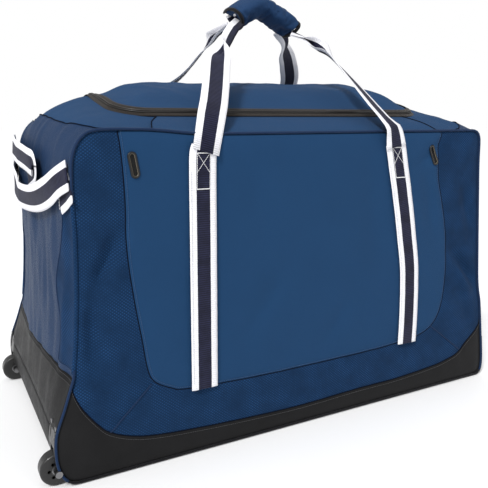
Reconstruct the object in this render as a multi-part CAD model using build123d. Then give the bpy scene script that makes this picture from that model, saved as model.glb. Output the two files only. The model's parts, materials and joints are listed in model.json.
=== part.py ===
"""A wheeled hockey equipment bag: fabric body on a stiffened base, zipped top flap, carry loops.

Millimetres. X runs along the bag from the wheel end (-X) to the tow end (+X), the front faces -Y,
Z is up. The origin is on the floor, under the middle of the whole bag's bounding box.
"""
from build123d import *
import math
import os

# ---------------------------------------------------------------- driving sizes
BASE_LENGTH = 920.0       # body at the floor, end wall to end wall
DEPTH = 500.0             # front wall to back wall, outside
SEAM_HEIGHT = 545.0       # where the walls are sewn to the top
WHEEL_END_LEAN = 41.0     # how far each end wall leans in by the time it reaches the seam
TOW_END_LEAN = 56.0
CORNER_RADIUS = 60.0      # upper corners of the front and back walls
WALL = 3.0                # coated fabric with its lining
OVERLAY = 2.0             # second layer on the front wall
WEBBING_WIDTH = 50.0      # two-inch webbing
WEBBING = 2.4
BOARD = 4.0               # stiffener in the base

LID_SEAM_X = 326.0        # the zip's two end runs
LID_SEAM_Y = 170.0        # the zip's front run, and the flap's sewn hinge at the back
RIM_HEIGHT = 568.0        # top of the fabric at the zip
RIM_CROWN = 606.0         # the same, halfway along an end run
LID_CROWN = 639.0         # highest point of the flap
LID_GAP = 4.0             # from the seam line to each fabric edge
TOP_CLOTH = 4.0           # the top's fabric and lining, measured upright

WHEEL_RADIUS = 26.0
WHEEL_WIDTH = 24.0
WHEEL_SIDE = 221.0        # wheel middle plane from the bag's middle
AXLE_RADIUS = 3.0
RUNNING_FIT = 0.05

HANDLE_PIVOT_HEIGHT = 548.0
GRIP_HEIGHT = 766.0       # upper edge of the two loops inside the grip
GRIP_GAP = 8.0            # each loop's upper edge from the middle plane

# ---------------------------------------------------------------- derived places
WHEEL_END = -BASE_LENGTH / 2
TOW_END = BASE_LENGTH / 2
HALF_DEPTH = DEPTH / 2
INSIDE = HALF_DEPTH - WALL
AXLE_X = WHEEL_END + 2.0
AXLE_Z = WHEEL_RADIUS
TOW_GUARD = 4.0
SHIFT_X = -(AXLE_X - WHEEL_RADIUS + TOW_END + TOW_GUARD) / 2
STRAP_BACK = HALF_DEPTH + OVERLAY + 2.2       # sewn webbing lies over the wall and its piping
STRAP_FACE = STRAP_BACK + WEBBING
PIVOT_Y = STRAP_FACE + 0.8
SLOPE_RUN = PIVOT_Y - GRIP_GAP
SLOPE_RISE = GRIP_HEIGHT - HANDLE_PIVOT_HEIGHT
SLOPE_LENGTH = math.hypot(SLOPE_RUN, SLOPE_RISE)
RIM_SLOPE = math.degrees(math.atan2(RIM_CROWN - RIM_HEIGHT, LID_SEAM_Y))

DIRECTIONS = {"X": Vector(1, 0, 0), "Y": Vector(0, 1, 0), "Z": Vector(0, 0, 1)}


# ---------------------------------------------------------------- helpers
def across(axis, first, second, along):
    """A point from its two coordinates across an axis and its place along it."""
    if axis == "X":
        return Vector(along, first, second)
    if axis == "Y":
        return Vector(first, along, second)
    return Vector(first, second, along)


def outline(points, axis, along):
    corners = [across(axis, a, b, along) for a, b in points]
    return make_face(Polyline(*corners, close=True))


def plate(points, axis, low, high):
    """A flat piece: its outline across an axis, and its two faces along it."""
    return extrude(outline(points, axis, low), amount=high - low, dir=DIRECTIONS[axis])


def block(x_low, x_high, y_low, y_high, z_low, z_high):
    return plate([(x_low, y_low), (x_high, y_low), (x_high, y_high), (x_low, y_high)],
                 "Z", z_low, z_high)


def rod(radius, x, z, y_low, y_high):
    """A round bar along Y."""
    turned = Plane(origin=(x, y_low, z), z_dir=(0, 1, 0))
    return extrude(turned * Circle(radius), amount=y_high - y_low)


def ribbon(points, width):
    """Outline of a flat band that follows a line of points, square at both ends."""
    left, right = [], []
    for n, (a, b) in enumerate(points):
        before = points[max(n - 1, 0)]
        after = points[min(n + 1, len(points) - 1)]
        length = math.hypot(after[0] - before[0], after[1] - before[1])
        side_a = -(after[1] - before[1]) / length * width / 2
        side_b = (after[0] - before[0]) / length * width / 2
        left.append((a + side_a, b + side_b))
        right.append((a - side_a, b - side_b))
    return left + right[::-1]


def to_back(piece):
    return mirror(piece, Plane.XZ)


def group(*pieces):
    """Separate solids kept together, such as the rivets."""
    return Compound([solid for piece in pieces for solid in piece.solids()])


# ---------------------------------------------------------------- base and walls
def side_view(inset):
    """The walls seen from the front, set in all round by a thickness."""
    return [
        (WHEEL_END + inset, inset),
        (TOW_END - inset, inset),
        (TOW_END - TOW_END_LEAN - inset, SEAM_HEIGHT),
        (WHEEL_END + WHEEL_END_LEAN + inset, SEAM_HEIGHT),
    ]


def round_top(wall):
    """Rounds the two upper corners of a front or back wall."""
    edges = wall.edges().filter_by(Axis.Y).sort_by(Axis.Z)[-2:]
    return fillet(edges, CORNER_RADIUS)


def base_cover_region():
    """Everything under the seam that sweeps up from the base's middle to its corners."""
    seam = Spline(
        (-470, 0, 176), (-425, 0, 128), (-390, 0, 86), (-330, 0, 57), (-140, 0, 42),
        (30, 0, 38), (220, 0, 42), (330, 0, 52), (400, 0, 84), (440, 0, 112), (475, 0, 126),
    )
    under = Polyline((475, 0, 126), (475, 0, -5), (-470, 0, -5), (-470, 0, 176))
    face = make_face([seam, under])
    return extrude(face, amount=2 * DEPTH, dir=DIRECTIONS["Y"], both=True)


NOTCH_X = -394.0          # the wheel housings fill the base's two corners up to here
NOTCH_Y = 192.0
NOTCH_HEIGHT = 90.5
ARCH_SIDE = LID_SEAM_Y + LID_GAP


def end_arch(lowered):
    """Upper edge of the top, seen from an end, lowered towards the end wall."""
    return [
        (-INSIDE, SEAM_HEIGHT - lowered),
        (-ARCH_SIDE, RIM_HEIGHT - lowered),
        (0, RIM_CROWN - lowered),
        (ARCH_SIDE, RIM_HEIGHT - lowered),
        (INSIDE, SEAM_HEIGHT - lowered),
    ]


def walls():
    outside = plate(side_view(0), "Y", -HALF_DEPTH, HALF_DEPTH)
    raised = [(x, z + (1 if z == SEAM_HEIGHT else 0)) for x, z in side_view(WALL)]
    shell = outside - plate(raised, "Y", -INSIDE, INSIDE)
    for low, high in ((-HALF_DEPTH - 1, -NOTCH_Y), (NOTCH_Y, HALF_DEPTH + 1)):
        shell -= block(WHEEL_END - 5, NOTCH_X, low, high, -1, NOTCH_HEIGHT)
    region = base_cover_region()
    cover = shell & region
    upper = shell - region
    front = upper & block(-500, 500, -HALF_DEPTH - 1, -INSIDE, 0, 600)
    back = upper & block(-500, 500, INSIDE, HALF_DEPTH + 1, 0, 600)
    arch = end_arch(55) + [(INSIDE, 0), (-INSIDE, 0)]
    wheel_end = upper & plate(arch, "X", -500, 0)
    tow_end = upper & plate(arch, "X", 0, 500)
    return cover, round_top(front), round_top(back), wheel_end, tow_end


def end_gusset(seam_x, wall_x):
    """The top between an end run of the zip and the end wall, curling over to meet it."""
    span = wall_x - seam_x
    sections = []
    for part, lowered in ((0.0, 0.0), (0.47, 4.0), (0.78, 20.0), (1.0, 55.0)):
        upper = end_arch(lowered)
        lower = [(y, z - TOP_CLOTH) for y, z in upper[::-1]]
        sections.append(outline(upper + lower, "X", seam_x + part * span))
    return loft(sections, ruled=True)


def side_gusset():
    """The strip of top between the front wall and the zip."""
    strip = [
        (-INSIDE, SEAM_HEIGHT),
        (-ARCH_SIDE, RIM_HEIGHT),
        (-ARCH_SIDE, RIM_HEIGHT - TOP_CLOTH),
        (-INSIDE, SEAM_HEIGHT - TOP_CLOTH),
    ]
    return plate(strip, "X", -LID_SEAM_X - LID_GAP, LID_SEAM_X + LID_GAP)


def front_overlay():
    """The smooth panel sewn on the front wall, narrower at the foot."""
    shape = [
        (-350, SEAM_HEIGHT - 3), (-342, 400), (-333, 285), (-316, 170), (-300, 141), (-276, 127),
        (-240, 118), (215, 118), (269, 125), (301, 141), (321, 172), (332, 296),
        (300, 470), (312, SEAM_HEIGHT - 3),
    ]
    return plate(shape, "Y", -HALF_DEPTH - OVERLAY, -HALF_DEPTH)


def piping():
    """Corded seam up one end corner, along the top of the front wall and down the other."""
    line_y = -HALF_DEPTH - 1.9
    line = FilletPolyline(
        (-453.5, line_y, 92), (-419, line_y, SEAM_HEIGHT),
        (404, line_y, SEAM_HEIGHT), (451, line_y, 92), radius=CORNER_RADIUS)
    start = Plane(origin=line @ 0, z_dir=line % 0)
    return sweep(start * Circle(1.8), path=line)


# ---------------------------------------------------------------- top flap and zip
def lid_section(x, crown, fullness):
    """One cross-section of the flap; fullness 0 is straight sides, more is a rounder dome."""
    edge = LID_SEAM_Y - LID_GAP
    middle = edge * 0.54
    straight = 1 - middle / edge
    shoulder = RIM_HEIGHT + (straight + fullness) * (crown - RIM_HEIGHT)
    upper = [(-edge, RIM_HEIGHT), (-middle, shoulder), (0, crown), (middle, shoulder), (edge, RIM_HEIGHT)]
    lower = [(y, z - TOP_CLOTH) for y, z in upper[::-1]]
    return outline(upper + lower, "X", x)


def lid_panel():
    edge = LID_SEAM_X - LID_GAP
    sections = [
        lid_section(-edge, RIM_CROWN, 0.0),
        lid_section(-120, LID_CROWN - 6, 0.27),
        lid_section(140, LID_CROWN, 0.27),
        lid_section(edge, RIM_CROWN, 0.0),
    ]
    return loft(sections, ruled=True)


TAPE = 1.2
TAPE_LIFT = 3.0           # tape above the rim's fabric
TAPE_WIDTH = 8.0         # what shows of the tape beside the seam
SEAM_PLAY = 0.6           # between the two halves of the zip


def zip_half(inner, outer, lift, thick):
    """One side of the zip: strips along its front and both end runs.

    inner and outer are distances from the seam line, positive on the bag's side.
    """
    near, far = sorted((inner, outer))
    low = RIM_HEIGHT + lift
    crown = RIM_CROWN + lift
    front = block(-LID_SEAM_X - far, LID_SEAM_X + far, -LID_SEAM_Y - far, -LID_SEAM_Y - near,
                  low, low + thick)
    profile = [
        (-LID_SEAM_Y - near, low), (0, crown), (LID_SEAM_Y - 4, low),
        (LID_SEAM_Y - 4, low + thick), (0, crown + thick), (-LID_SEAM_Y - near, low + thick),
    ]
    wheel_run = plate(profile, "X", -LID_SEAM_X - far, -LID_SEAM_X - near)
    tow_run = plate(profile, "X", LID_SEAM_X + near, LID_SEAM_X + far)
    return front + wheel_run + tow_run


SLIDER_Y = 128.0          # both sliders are parked near the hinge
SLIDER_LENGTH = 22.0
SLIDER_WIDTH = 13.0


def on_end_run(piece, x):
    """Sets a piece, made about the origin, on the sloping back half of an end run."""
    height = RIM_HEIGHT + TAPE_LIFT + TAPE + 2.4
    height += (RIM_CROWN - RIM_HEIGHT) * (1 - SLIDER_Y / LID_SEAM_Y)
    return Pos(x, SLIDER_Y, height) * Rot(-RIM_SLOPE, 0, 0) * piece


def slider(x):
    body = block(-SLIDER_WIDTH / 2, SLIDER_WIDTH / 2, -SLIDER_LENGTH / 2, SLIDER_LENGTH / 2, 0, 3.5)
    body = chamfer(body.edges().filter_by(Axis.Z), 3.0)
    for side in (-3.2, 3.2):
        body += block(side - 1, side + 1, -5, 5, 3.5, 8.5)
    body -= plate([(y, z) for y, z in ((-1.7, 4.9), (1.7, 4.9), (1.7, 7.5), (-1.7, 7.5))],
                  "X", -6, 6)
    return on_end_run(body, x)


def pull(x):
    pin = extrude(Plane(origin=(-5.5, 0, 6.2), z_dir=(1, 0, 0)) * Circle(1.1), amount=11)
    arms = block(-6.5, -5.0, -1.5, 12, 5.2, 7.2) + block(5.0, 6.5, -1.5, 12, 5.2, 7.2)
    tab = block(-6.5, 6.5, 10, 36, 5.2, 7.2) - block(-2, 2, 27, 32, 5, 8)
    return on_end_run(pin + arms + tab, x)


# ---------------------------------------------------------------- webbing
def sewn_strap(points):
    return plate(ribbon(points, WEBBING_WIDTH), "Y", -STRAP_FACE, -STRAP_BACK)


LEFT_SEWN = [(-216, 118), (-216, 500), (-204, 546)]
RIGHT_SEWN = [(231, 118), (231, 262), (184, 512), (180, 546)]
LEFT_LEG = [(-204, 5), (-203, 40), (-120, 180), (-75, 312)]
RIGHT_LEG = [(180, 5), (180, 60), (168, 160), (142, 312)]
GRIP_START = -88.0
GRIP_END = 152.0
FOLDED_WIDTH = 25.0       # webbing folded in two inside the grip


def carry_loop():
    """The front loop, rising from the top of the front wall and leaning over the flap."""
    leaning = Plane(
        origin=(0, -PIVOT_Y, HANDLE_PIVOT_HEIGHT), x_dir=(1, 0, 0),
        z_dir=(0, -SLOPE_RISE / SLOPE_LENGTH, SLOPE_RUN / SLOPE_LENGTH))
    loop = None
    for leg in (LEFT_LEG, RIGHT_LEG):
        face = make_face(Polyline(*ribbon(leg, WEBBING_WIDTH), close=True))
        band = extrude(face, amount=WEBBING / 2, both=True)
        loop = band if loop is None else loop + band
    bar = Pos((GRIP_START + GRIP_END) / 2, SLOPE_LENGTH - FOLDED_WIDTH / 2, 0) * Box(
        GRIP_END - GRIP_START, FOLDED_WIDTH, 2 * WEBBING)
    return leaning * (loop + bar)


WRAP_START = -44.0
WRAP_END = 110.0
BINDING = 3.0


def grip_section(wall_out):
    """The grip's sleeve from its end: a padded wall round both loops, open towards the back."""
    low, high = 742.0, 772.0
    front, back = -31.0, 29.0
    out = wall_out
    return [
        (back, high), (back, high + out), (front - out, high + out), (front - out, low - out),
        (back, low - out), (back, low), (front, low), (front, high),
    ]


def end_strap(points, layer):
    """Webbing hanging in front of the wheel-end wall."""
    x = WHEEL_END + STRAP_STAND + layer
    return plate(ribbon(points, WEBBING_WIDTH), "X", x, x + WEBBING)


STRAP_STAND = 6.0         # the slack end strap stands off the wall to this far inside the base's end
DROOP = [(-226, 478), (-120, 434), (0, 421), (120, 434), (226, 478)]
FOLDED_BACK = [(226, 506), (-66, 497), (-226, 462)]


def to_tow_end(piece):
    """Mirrors a wheel-end piece to the tow end, on that end's own slope."""
    closer = (TOW_END_LEAN - WHEEL_END_LEAN) * 0.85
    return Pos(-closer, 0, 0) * mirror(piece, Plane.YZ)


def end_anchor():
    """Folded webbing ends, sewn in the two upright seams, that the end strap hangs from."""
    tabs = [block(WHEEL_END + STRAP_STAND, WHEEL_END + 33, low, high, 450, 530)
            for low, high in ((-245, -237), (237, 245))]
    return group(*tabs)


# ---------------------------------------------------------------- wheels and corners
CHEEK_OUT = (-249.0, -241.0)
CHEEK_IN = (-205.0, -199.0)
BEARING_RADIUS = 8.0
BEARING_WIDTH = 5.0
HUB_RADIUS = 17.0


def axle_rod(radius, low, high):
    return rod(radius, AXLE_X, AXLE_Z, low, high)


def housing():
    """Moulded corner: outer guard, inner cheek, roof, back and a riveted flange."""
    guard = [(-461, 88), (NOTCH_X - 2, 88), (NOTCH_X - 2, 1), (-436, 1), (-448, 13), (-454, 40)]
    cheek = [(-479, 88), (NOTCH_X - 2, 88), (NOTCH_X - 2, 1), (-440, 1), (-468, 12), (-479, 40)]
    part = plate(guard, "Y", *CHEEK_OUT) + axle_rod(11, *CHEEK_OUT)
    part += plate(cheek, "Y", *CHEEK_IN)
    part += block(-479, NOTCH_X - 2, CHEEK_OUT[0], CHEEK_IN[1], 84, 88)
    part += block(NOTCH_X - 6, NOTCH_X - 2, CHEEK_OUT[0], CHEEK_IN[1], 1, 88)
    part += block(-457.5, -453.8, CHEEK_OUT[0], CHEEK_IN[1], 88, 106)
    part -= axle_rod(AXLE_RADIUS + 0.1, CHEEK_OUT[0] - 1, CHEEK_IN[1] + 1)
    return part - axle_rod(6.0, CHEEK_OUT[0] - 1, CHEEK_OUT[0] + 4)


def rivets():
    seats = [Plane(origin=(-457.5, y, 97), z_dir=(-1, 0, 0)) for y in (-239, -209)]
    return group(*[extrude(seat * Circle(4), amount=1.8) for seat in seats])


def tyre():
    low = -WHEEL_SIDE - WHEEL_WIDTH / 2
    ring = axle_rod(WHEEL_RADIUS, low, low + WHEEL_WIDTH)
    ring = fillet(ring.edges(), 4.0)
    return ring - axle_rod(HUB_RADIUS, low - 1, low + WHEEL_WIDTH + 1)


def hub():
    low = -WHEEL_SIDE - WHEEL_WIDTH / 2
    high = low + WHEEL_WIDTH
    body = axle_rod(HUB_RADIUS, low, high)
    body -= axle_rod(AXLE_RADIUS + 2, low - 1, high + 1)
    body -= axle_rod(BEARING_RADIUS, low - 1, low + BEARING_WIDTH)
    body -= axle_rod(BEARING_RADIUS, high - BEARING_WIDTH, high + 1)
    for n in range(6):
        turn = math.radians(60 * n)
        x = AXLE_X + 12.2 * math.cos(turn)
        z = AXLE_Z + 12.2 * math.sin(turn)
        body -= rod(2.6, x, z, low - 1, low + 9)
    return body


def bearings():
    low = -WHEEL_SIDE - WHEEL_WIDTH / 2
    rings = []
    for start in (low, low + WHEEL_WIDTH - BEARING_WIDTH):
        ring = axle_rod(BEARING_RADIUS, start, start + BEARING_WIDTH)
        rings.append(ring - axle_rod(AXLE_RADIUS + RUNNING_FIT, start - 1, start + BEARING_WIDTH + 1))
    return group(*rings)


def spacer(low, high):
    return axle_rod(AXLE_RADIUS + 3, low, high) - axle_rod(AXLE_RADIUS + 0.1, low - 1, high + 1)


def spacers():
    inner_face = -WHEEL_SIDE + WHEEL_WIDTH / 2
    outer_face = -WHEEL_SIDE - WHEEL_WIDTH / 2
    return group(
        spacer(CHEEK_OUT[1], outer_face - 0.4), spacer(inner_face + 0.4, CHEEK_IN[0]))


def axle():
    shaft = axle_rod(AXLE_RADIUS, CHEEK_OUT[0] + 4, CHEEK_IN[1] + 6)
    return shaft + axle_rod(5.5, CHEEK_OUT[0] + 0.5, CHEEK_OUT[0] + 4)


def nut():
    seat = Plane(origin=(AXLE_X, CHEEK_IN[1], AXLE_Z), z_dir=(0, 1, 0))
    hexagon = extrude(seat * RegularPolygon(5.8, 6), amount=5)
    return hexagon - axle_rod(AXLE_RADIUS + 0.02, CHEEK_IN[1] - 1, CHEEK_IN[1] + 7)


def tow_guard():
    """Moulded corner that the bag slides on when it is stood up and laid down."""
    lean = TOW_END_LEAN / SEAM_HEIGHT
    shape = [
        (TOW_END + 0.2, 0), (TOW_END + TOW_GUARD, 4),
        (TOW_END + TOW_GUARD - 88 * lean, 88), (TOW_END + 0.2 - 88 * lean, 88),
    ]
    return plate(shape, "Y", -HALF_DEPTH, -205)


def vent(x, z, lean, radius, low, high):
    """A slanted slot shape on the front overlay, with round ends."""
    seat = Plane(origin=(x, -low, z), x_dir=(math.sin(lean), 0, math.cos(lean)), z_dir=(0, -1, 0))
    return extrude(seat * SlotOverall(36 + 2 * (radius - 5.5), 2 * radius), amount=high - low)


# ---------------------------------------------------------------- the bag
os.makedirs("parts", exist_ok=True)


def write(name, shape):
    solids = [solid.moved(Pos(SHIFT_X, 0, 0)) for solid in shape.solids()]
    export_step(solids[0] if len(solids) == 1 else group(*solids), f"parts/{name}.step")


cover, front_wall, back_wall, wheel_wall, tow_wall = walls()
gusset_start = LID_SEAM_X + LID_GAP
wheel_gusset = end_gusset(-gusset_start, WHEEL_END + WHEEL_END_LEAN * 490 / SEAM_HEIGHT + WALL)
tow_gusset = end_gusset(gusset_start, TOW_END - TOW_END_LEAN * 490 / SEAM_HEIGHT - WALL)

write("base_cover", cover)
write("base_board", block(-388, 450, -INSIDE + 6, INSIDE - 6, WALL, WALL + BOARD))
write("front_panel", front_wall)
write("back_panel", back_wall)
write("wheel_end_panel", wheel_wall - wheel_gusset)
write("tow_end_panel", tow_wall - tow_gusset)
write("wheel_end_top_gusset", wheel_gusset)
write("tow_end_top_gusset", tow_gusset)
write("front_top_gusset", side_gusset())
write("back_top_gusset", to_back(side_gusset()))
write("front_overlay_panel", front_overlay())
write("front_piping", piping())
write("back_piping", to_back(piping()))

write("lid_panel", lid_panel())
write("lid_zip_tape", zip_half(-SEAM_PLAY, -TAPE_WIDTH, TAPE_LIFT, TAPE))
write("bag_zip_tape", zip_half(SEAM_PLAY, TAPE_WIDTH, TAPE_LIFT, TAPE))
write("lid_zip_coil", zip_half(-SEAM_PLAY, -3.0, TAPE_LIFT + TAPE, 1.6))
write("bag_zip_coil", zip_half(SEAM_PLAY, 3.0, TAPE_LIFT + TAPE, 1.6))
for end, x in (("wheel_end", -LID_SEAM_X), ("tow_end", LID_SEAM_X)):
    write(f"{end}_zip_slider", slider(x))
    write(f"{end}_zip_pull", pull(x))

for side, points in (("left", LEFT_SEWN), ("right", RIGHT_SEWN)):
    write(f"front_{side}_sewn_strap", sewn_strap(points))
    write(f"back_{side}_sewn_strap", to_back(sewn_strap(points)))
write("front_carry_loop", carry_loop())
write("back_carry_loop", to_back(carry_loop()))
write("grip_pad", plate(grip_section(6.0), "X", WRAP_START, WRAP_END))
ends = [plate(grip_section(6.5), "X", start, start + BINDING)
        for start in (WRAP_START - BINDING, WRAP_END)]
write("grip_binding", group(*ends))

write("wheel_end_drooping_strap", end_strap(DROOP, 0))
write("wheel_end_folded_strap", end_strap(FOLDED_BACK, 4.0))
write("wheel_end_strap_anchors", end_anchor())
write("tow_end_drooping_strap", to_tow_end(end_strap(DROOP, 0)))
write("tow_end_strap_anchors", to_tow_end(end_anchor()))

wheel_pieces = {
    "wheel_housing": housing(), "tyre": tyre(), "wheel_hub": hub(), "wheel_bearings": bearings(),
    "axle_spacers": spacers(), "axle_bolt": axle(), "axle_nut": nut(),
}
for name, piece in wheel_pieces.items():
    write(f"front_{name}", piece)
    write(f"rear_{name}", to_back(piece))
write("housing_rivets", group(rivets(), to_back(rivets())))
write("tow_corner_guards", group(tow_guard(), to_back(tow_guard())))

frames, screens = [], []
outer_face = HALF_DEPTH + OVERLAY
for x, z, lean in ((-328, 494, 0.17), (283, 492, 0.41)):
    ring = vent(x, z, lean, 7.0, outer_face, outer_face + 1.8)
    frames.append(ring - vent(x, z, lean, 4.0, outer_face - 1, outer_face + 3))
    screens.append(vent(x, z, lean, 3.9, outer_face, outer_face + 0.6))
write("vent_frames", group(*frames))
write("vent_screens", group(*screens))
print("shift", SHIFT_X, "slope length", SLOPE_LENGTH, "rim slope", RIM_SLOPE)
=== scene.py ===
import json
import math

import bpy
import numpy as np
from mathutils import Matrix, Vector, geometry, noise


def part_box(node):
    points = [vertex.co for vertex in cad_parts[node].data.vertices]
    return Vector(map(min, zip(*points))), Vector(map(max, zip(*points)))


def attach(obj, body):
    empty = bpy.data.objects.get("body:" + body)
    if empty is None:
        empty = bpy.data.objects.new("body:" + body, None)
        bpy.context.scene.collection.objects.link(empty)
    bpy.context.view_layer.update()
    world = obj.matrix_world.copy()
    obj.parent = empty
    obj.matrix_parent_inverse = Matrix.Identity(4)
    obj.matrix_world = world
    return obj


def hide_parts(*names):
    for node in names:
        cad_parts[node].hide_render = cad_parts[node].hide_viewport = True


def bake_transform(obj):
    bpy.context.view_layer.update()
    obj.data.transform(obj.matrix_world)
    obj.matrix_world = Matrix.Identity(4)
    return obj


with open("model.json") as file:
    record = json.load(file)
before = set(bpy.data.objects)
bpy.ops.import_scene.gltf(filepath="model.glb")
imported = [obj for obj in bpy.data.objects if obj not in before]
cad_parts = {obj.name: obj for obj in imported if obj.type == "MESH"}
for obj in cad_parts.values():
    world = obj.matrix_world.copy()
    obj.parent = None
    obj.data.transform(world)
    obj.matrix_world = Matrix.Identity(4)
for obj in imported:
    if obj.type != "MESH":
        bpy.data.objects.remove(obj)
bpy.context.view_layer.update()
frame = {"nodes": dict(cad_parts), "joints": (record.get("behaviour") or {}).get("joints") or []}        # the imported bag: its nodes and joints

# ---------------------------------------------------------------- places read from the frame (metres)
BASE_LOW, BASE_HIGH = (np.array(corner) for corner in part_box("base_cover"))
MID_X = (BASE_LOW[0] + BASE_HIGH[0]) / 2         # middle of the body; shapes below are made about it
HALF_LENGTH = (BASE_HIGH[0] - BASE_LOW[0]) / 2
HALF_DEPTH = BASE_HIGH[1]
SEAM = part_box("front_panel")[1][2]               # height where the walls meet the top
ZIP_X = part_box("lid_zip_tape")[1][0] - MID_X
ZIP_Y = -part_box("lid_zip_tape")[0][1]
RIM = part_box("front_top_gusset")[1][2]           # height of the top at the zip
RIM_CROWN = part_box("wheel_end_top_gusset")[1][2]
LID_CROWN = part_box("lid_panel")[1][2]
JOINTS = {joint["name"]: joint for joint in frame["joints"]}
PIVOT_Y = -JOINTS["front_handle_swing"]["pos_m"][1]
PIVOT_Z = JOINTS["front_handle_swing"]["pos_m"][2]
AXLE_X = JOINTS["front_wheel_spin"]["pos_m"][0] - MID_X
AXLE_Z = JOINTS["front_wheel_spin"]["pos_m"][2]
GRIP_LOW, GRIP_HIGH = (np.array(corner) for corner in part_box("grip_pad"))

EDGE_ROLL = 0.007        # the big front and back panels curl back to their corded seams
EDGE_Y = HALF_DEPTH - EDGE_ROLL
WEBBING = 0.047
WEBBING_THICKNESS = 0.0026
CLOTH = 0.0022


# ---------------------------------------------------------------- small sums
def smooth(low, high, value):
    t = np.clip((value - low) / (high - low), 0.0, 1.0)
    return t * t * (3 - 2 * t)


def curve(points, count):
    """A smooth line through a few points (Catmull-Rom), sampled evenly along its length."""
    p = np.array(points, float)
    p = np.vstack([2 * p[0] - p[1], p, 2 * p[-1] - p[-2]])
    fine = []
    for n in range(1, len(p) - 2):
        for t in np.linspace(0, 1, 24, endpoint=False):
            a, b, c, d = p[n - 1], p[n], p[n + 1], p[n + 2]
            fine.append(0.5 * (2 * b + (c - a) * t + (2 * a - 5 * b + 4 * c - d) * t ** 2
                               + (3 * b - a - 3 * c + d) * t ** 3))
    fine.append(p[-2])
    return evenly(np.array(fine), count)


def evenly(line, count):
    """The same line as count points at equal steps."""
    steps = np.linalg.norm(np.diff(line, axis=0), axis=1)
    along = np.concatenate([[0], np.cumsum(steps)])
    wanted = np.linspace(0, along[-1], count)
    return np.column_stack([np.interp(wanted, along, line[:, k]) for k in range(line.shape[1])])


def length_of(line):
    return float(np.linalg.norm(np.diff(np.asarray(line), axis=0), axis=1).sum())


def inside(points, outline):
    """Which points lie inside a closed outline."""
    x, y = points[:, 0], points[:, 1]
    result = np.zeros(len(points), bool)
    for (x1, y1), (x2, y2) in zip(outline, np.roll(outline, -1, axis=0)):
        crosses = (y1 > y) != (y2 > y)
        with np.errstate(divide="ignore", invalid="ignore"):
            at = (x2 - x1) * (y - y1) / (y2 - y1) + x1
        result ^= crosses & (x < at)
    return result


def distance_to(points, line, closed=True):
    """Distance from each point to a line of points."""
    best = np.full(len(points), 1e9)
    ends = np.roll(line, -1, axis=0) if closed else line[1:]
    for a, b in zip(line, ends):
        ab = b - a
        t = np.clip(((points - a) @ ab) / max(ab @ ab, 1e-12), 0, 1)
        best = np.minimum(best, np.linalg.norm(points - a - t[:, None] * ab, axis=1))
    return best


def noise_at(points, scale, seed=0.0):
    """Smooth noise from -1 to 1 at each point; scale is the size of a lump along x, y and z."""
    scale = np.broadcast_to(np.array(scale, float), (3,))
    return np.array([noise.noise(Vector(p / scale) + Vector((seed, seed * 1.7, -seed))) for p in points])


# ---------------------------------------------------------------- meshes
def new_mesh(name, points, faces, uv=None, materials=(), smooth_shaded=True):
    """A mesh object from points in bag coordinates, with one uv pair per point, in metres."""
    points = np.asarray(points, float) + [MID_X, 0, 0]
    mesh = bpy.data.meshes.new(name)
    mesh.from_pydata([tuple(p) for p in points], [], [tuple(int(k) for k in f) for f in faces])
    if uv is not None:
        layer = mesh.uv_layers.new(name="Cloth")
        for loop in mesh.loops:
            layer.data[loop.index].uv = uv[loop.vertex_index]
    for material in materials:
        mesh.materials.append(material)
    mesh.polygons.foreach_set("use_smooth", [smooth_shaded] * len(mesh.polygons))
    mesh.validate()
    piece = bpy.data.objects.new(name, mesh)
    bpy.context.scene.collection.objects.link(piece)
    return piece


def grid_faces(rows, columns, closed=False):
    faces = []
    last = columns if closed else columns - 1
    for r in range(rows - 1):
        for c in range(last):
            d = (c + 1) % columns
            faces.append((r * columns + c, r * columns + d, (r + 1) * columns + d, (r + 1) * columns + c))
    return faces


def face_outward(piece, outward):
    """Turns every face over if most of them look away from the outward direction."""
    mesh = piece.data
    score = sum(Vector(outward(Vector(f.center) - Vector((MID_X, 0, 0)))).dot(f.normal) * f.area
                for f in mesh.polygons)
    if score < 0:
        mesh.flip_normals()


def thicken(piece, thickness, lining=True):
    """Gives a cloth sheet its thickness on the inside, with its second material as the lining."""
    solid = piece.modifiers.new("thickness", "SOLIDIFY")
    solid.thickness = thickness
    solid.offset = -1
    if lining:
        solid.material_offset = 1
    apply_modifiers(piece)


def apply_modifiers(piece):
    bpy.context.view_layer.update()
    graph = bpy.context.evaluated_depsgraph_get()
    mesh = bpy.data.meshes.new_from_object(piece.evaluated_get(graph))
    piece.modifiers.clear()
    piece.data = mesh


def settle(piece, body, nodes=()):
    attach(piece, body)
    if nodes:
        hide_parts(*nodes)
    return piece


def joined(parts):
    """Several (points, faces, uv) pieces as one."""
    points, faces, uvs, offset = [], [], [], 0
    for part in parts:
        p, f, uv = part
        points.append(np.asarray(p))
        faces += [tuple(k + offset for k in face) for face in f]
        uvs.append(np.asarray(uv))
        offset += len(p)
    return np.vstack(points), faces, np.vstack(uvs)


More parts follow.
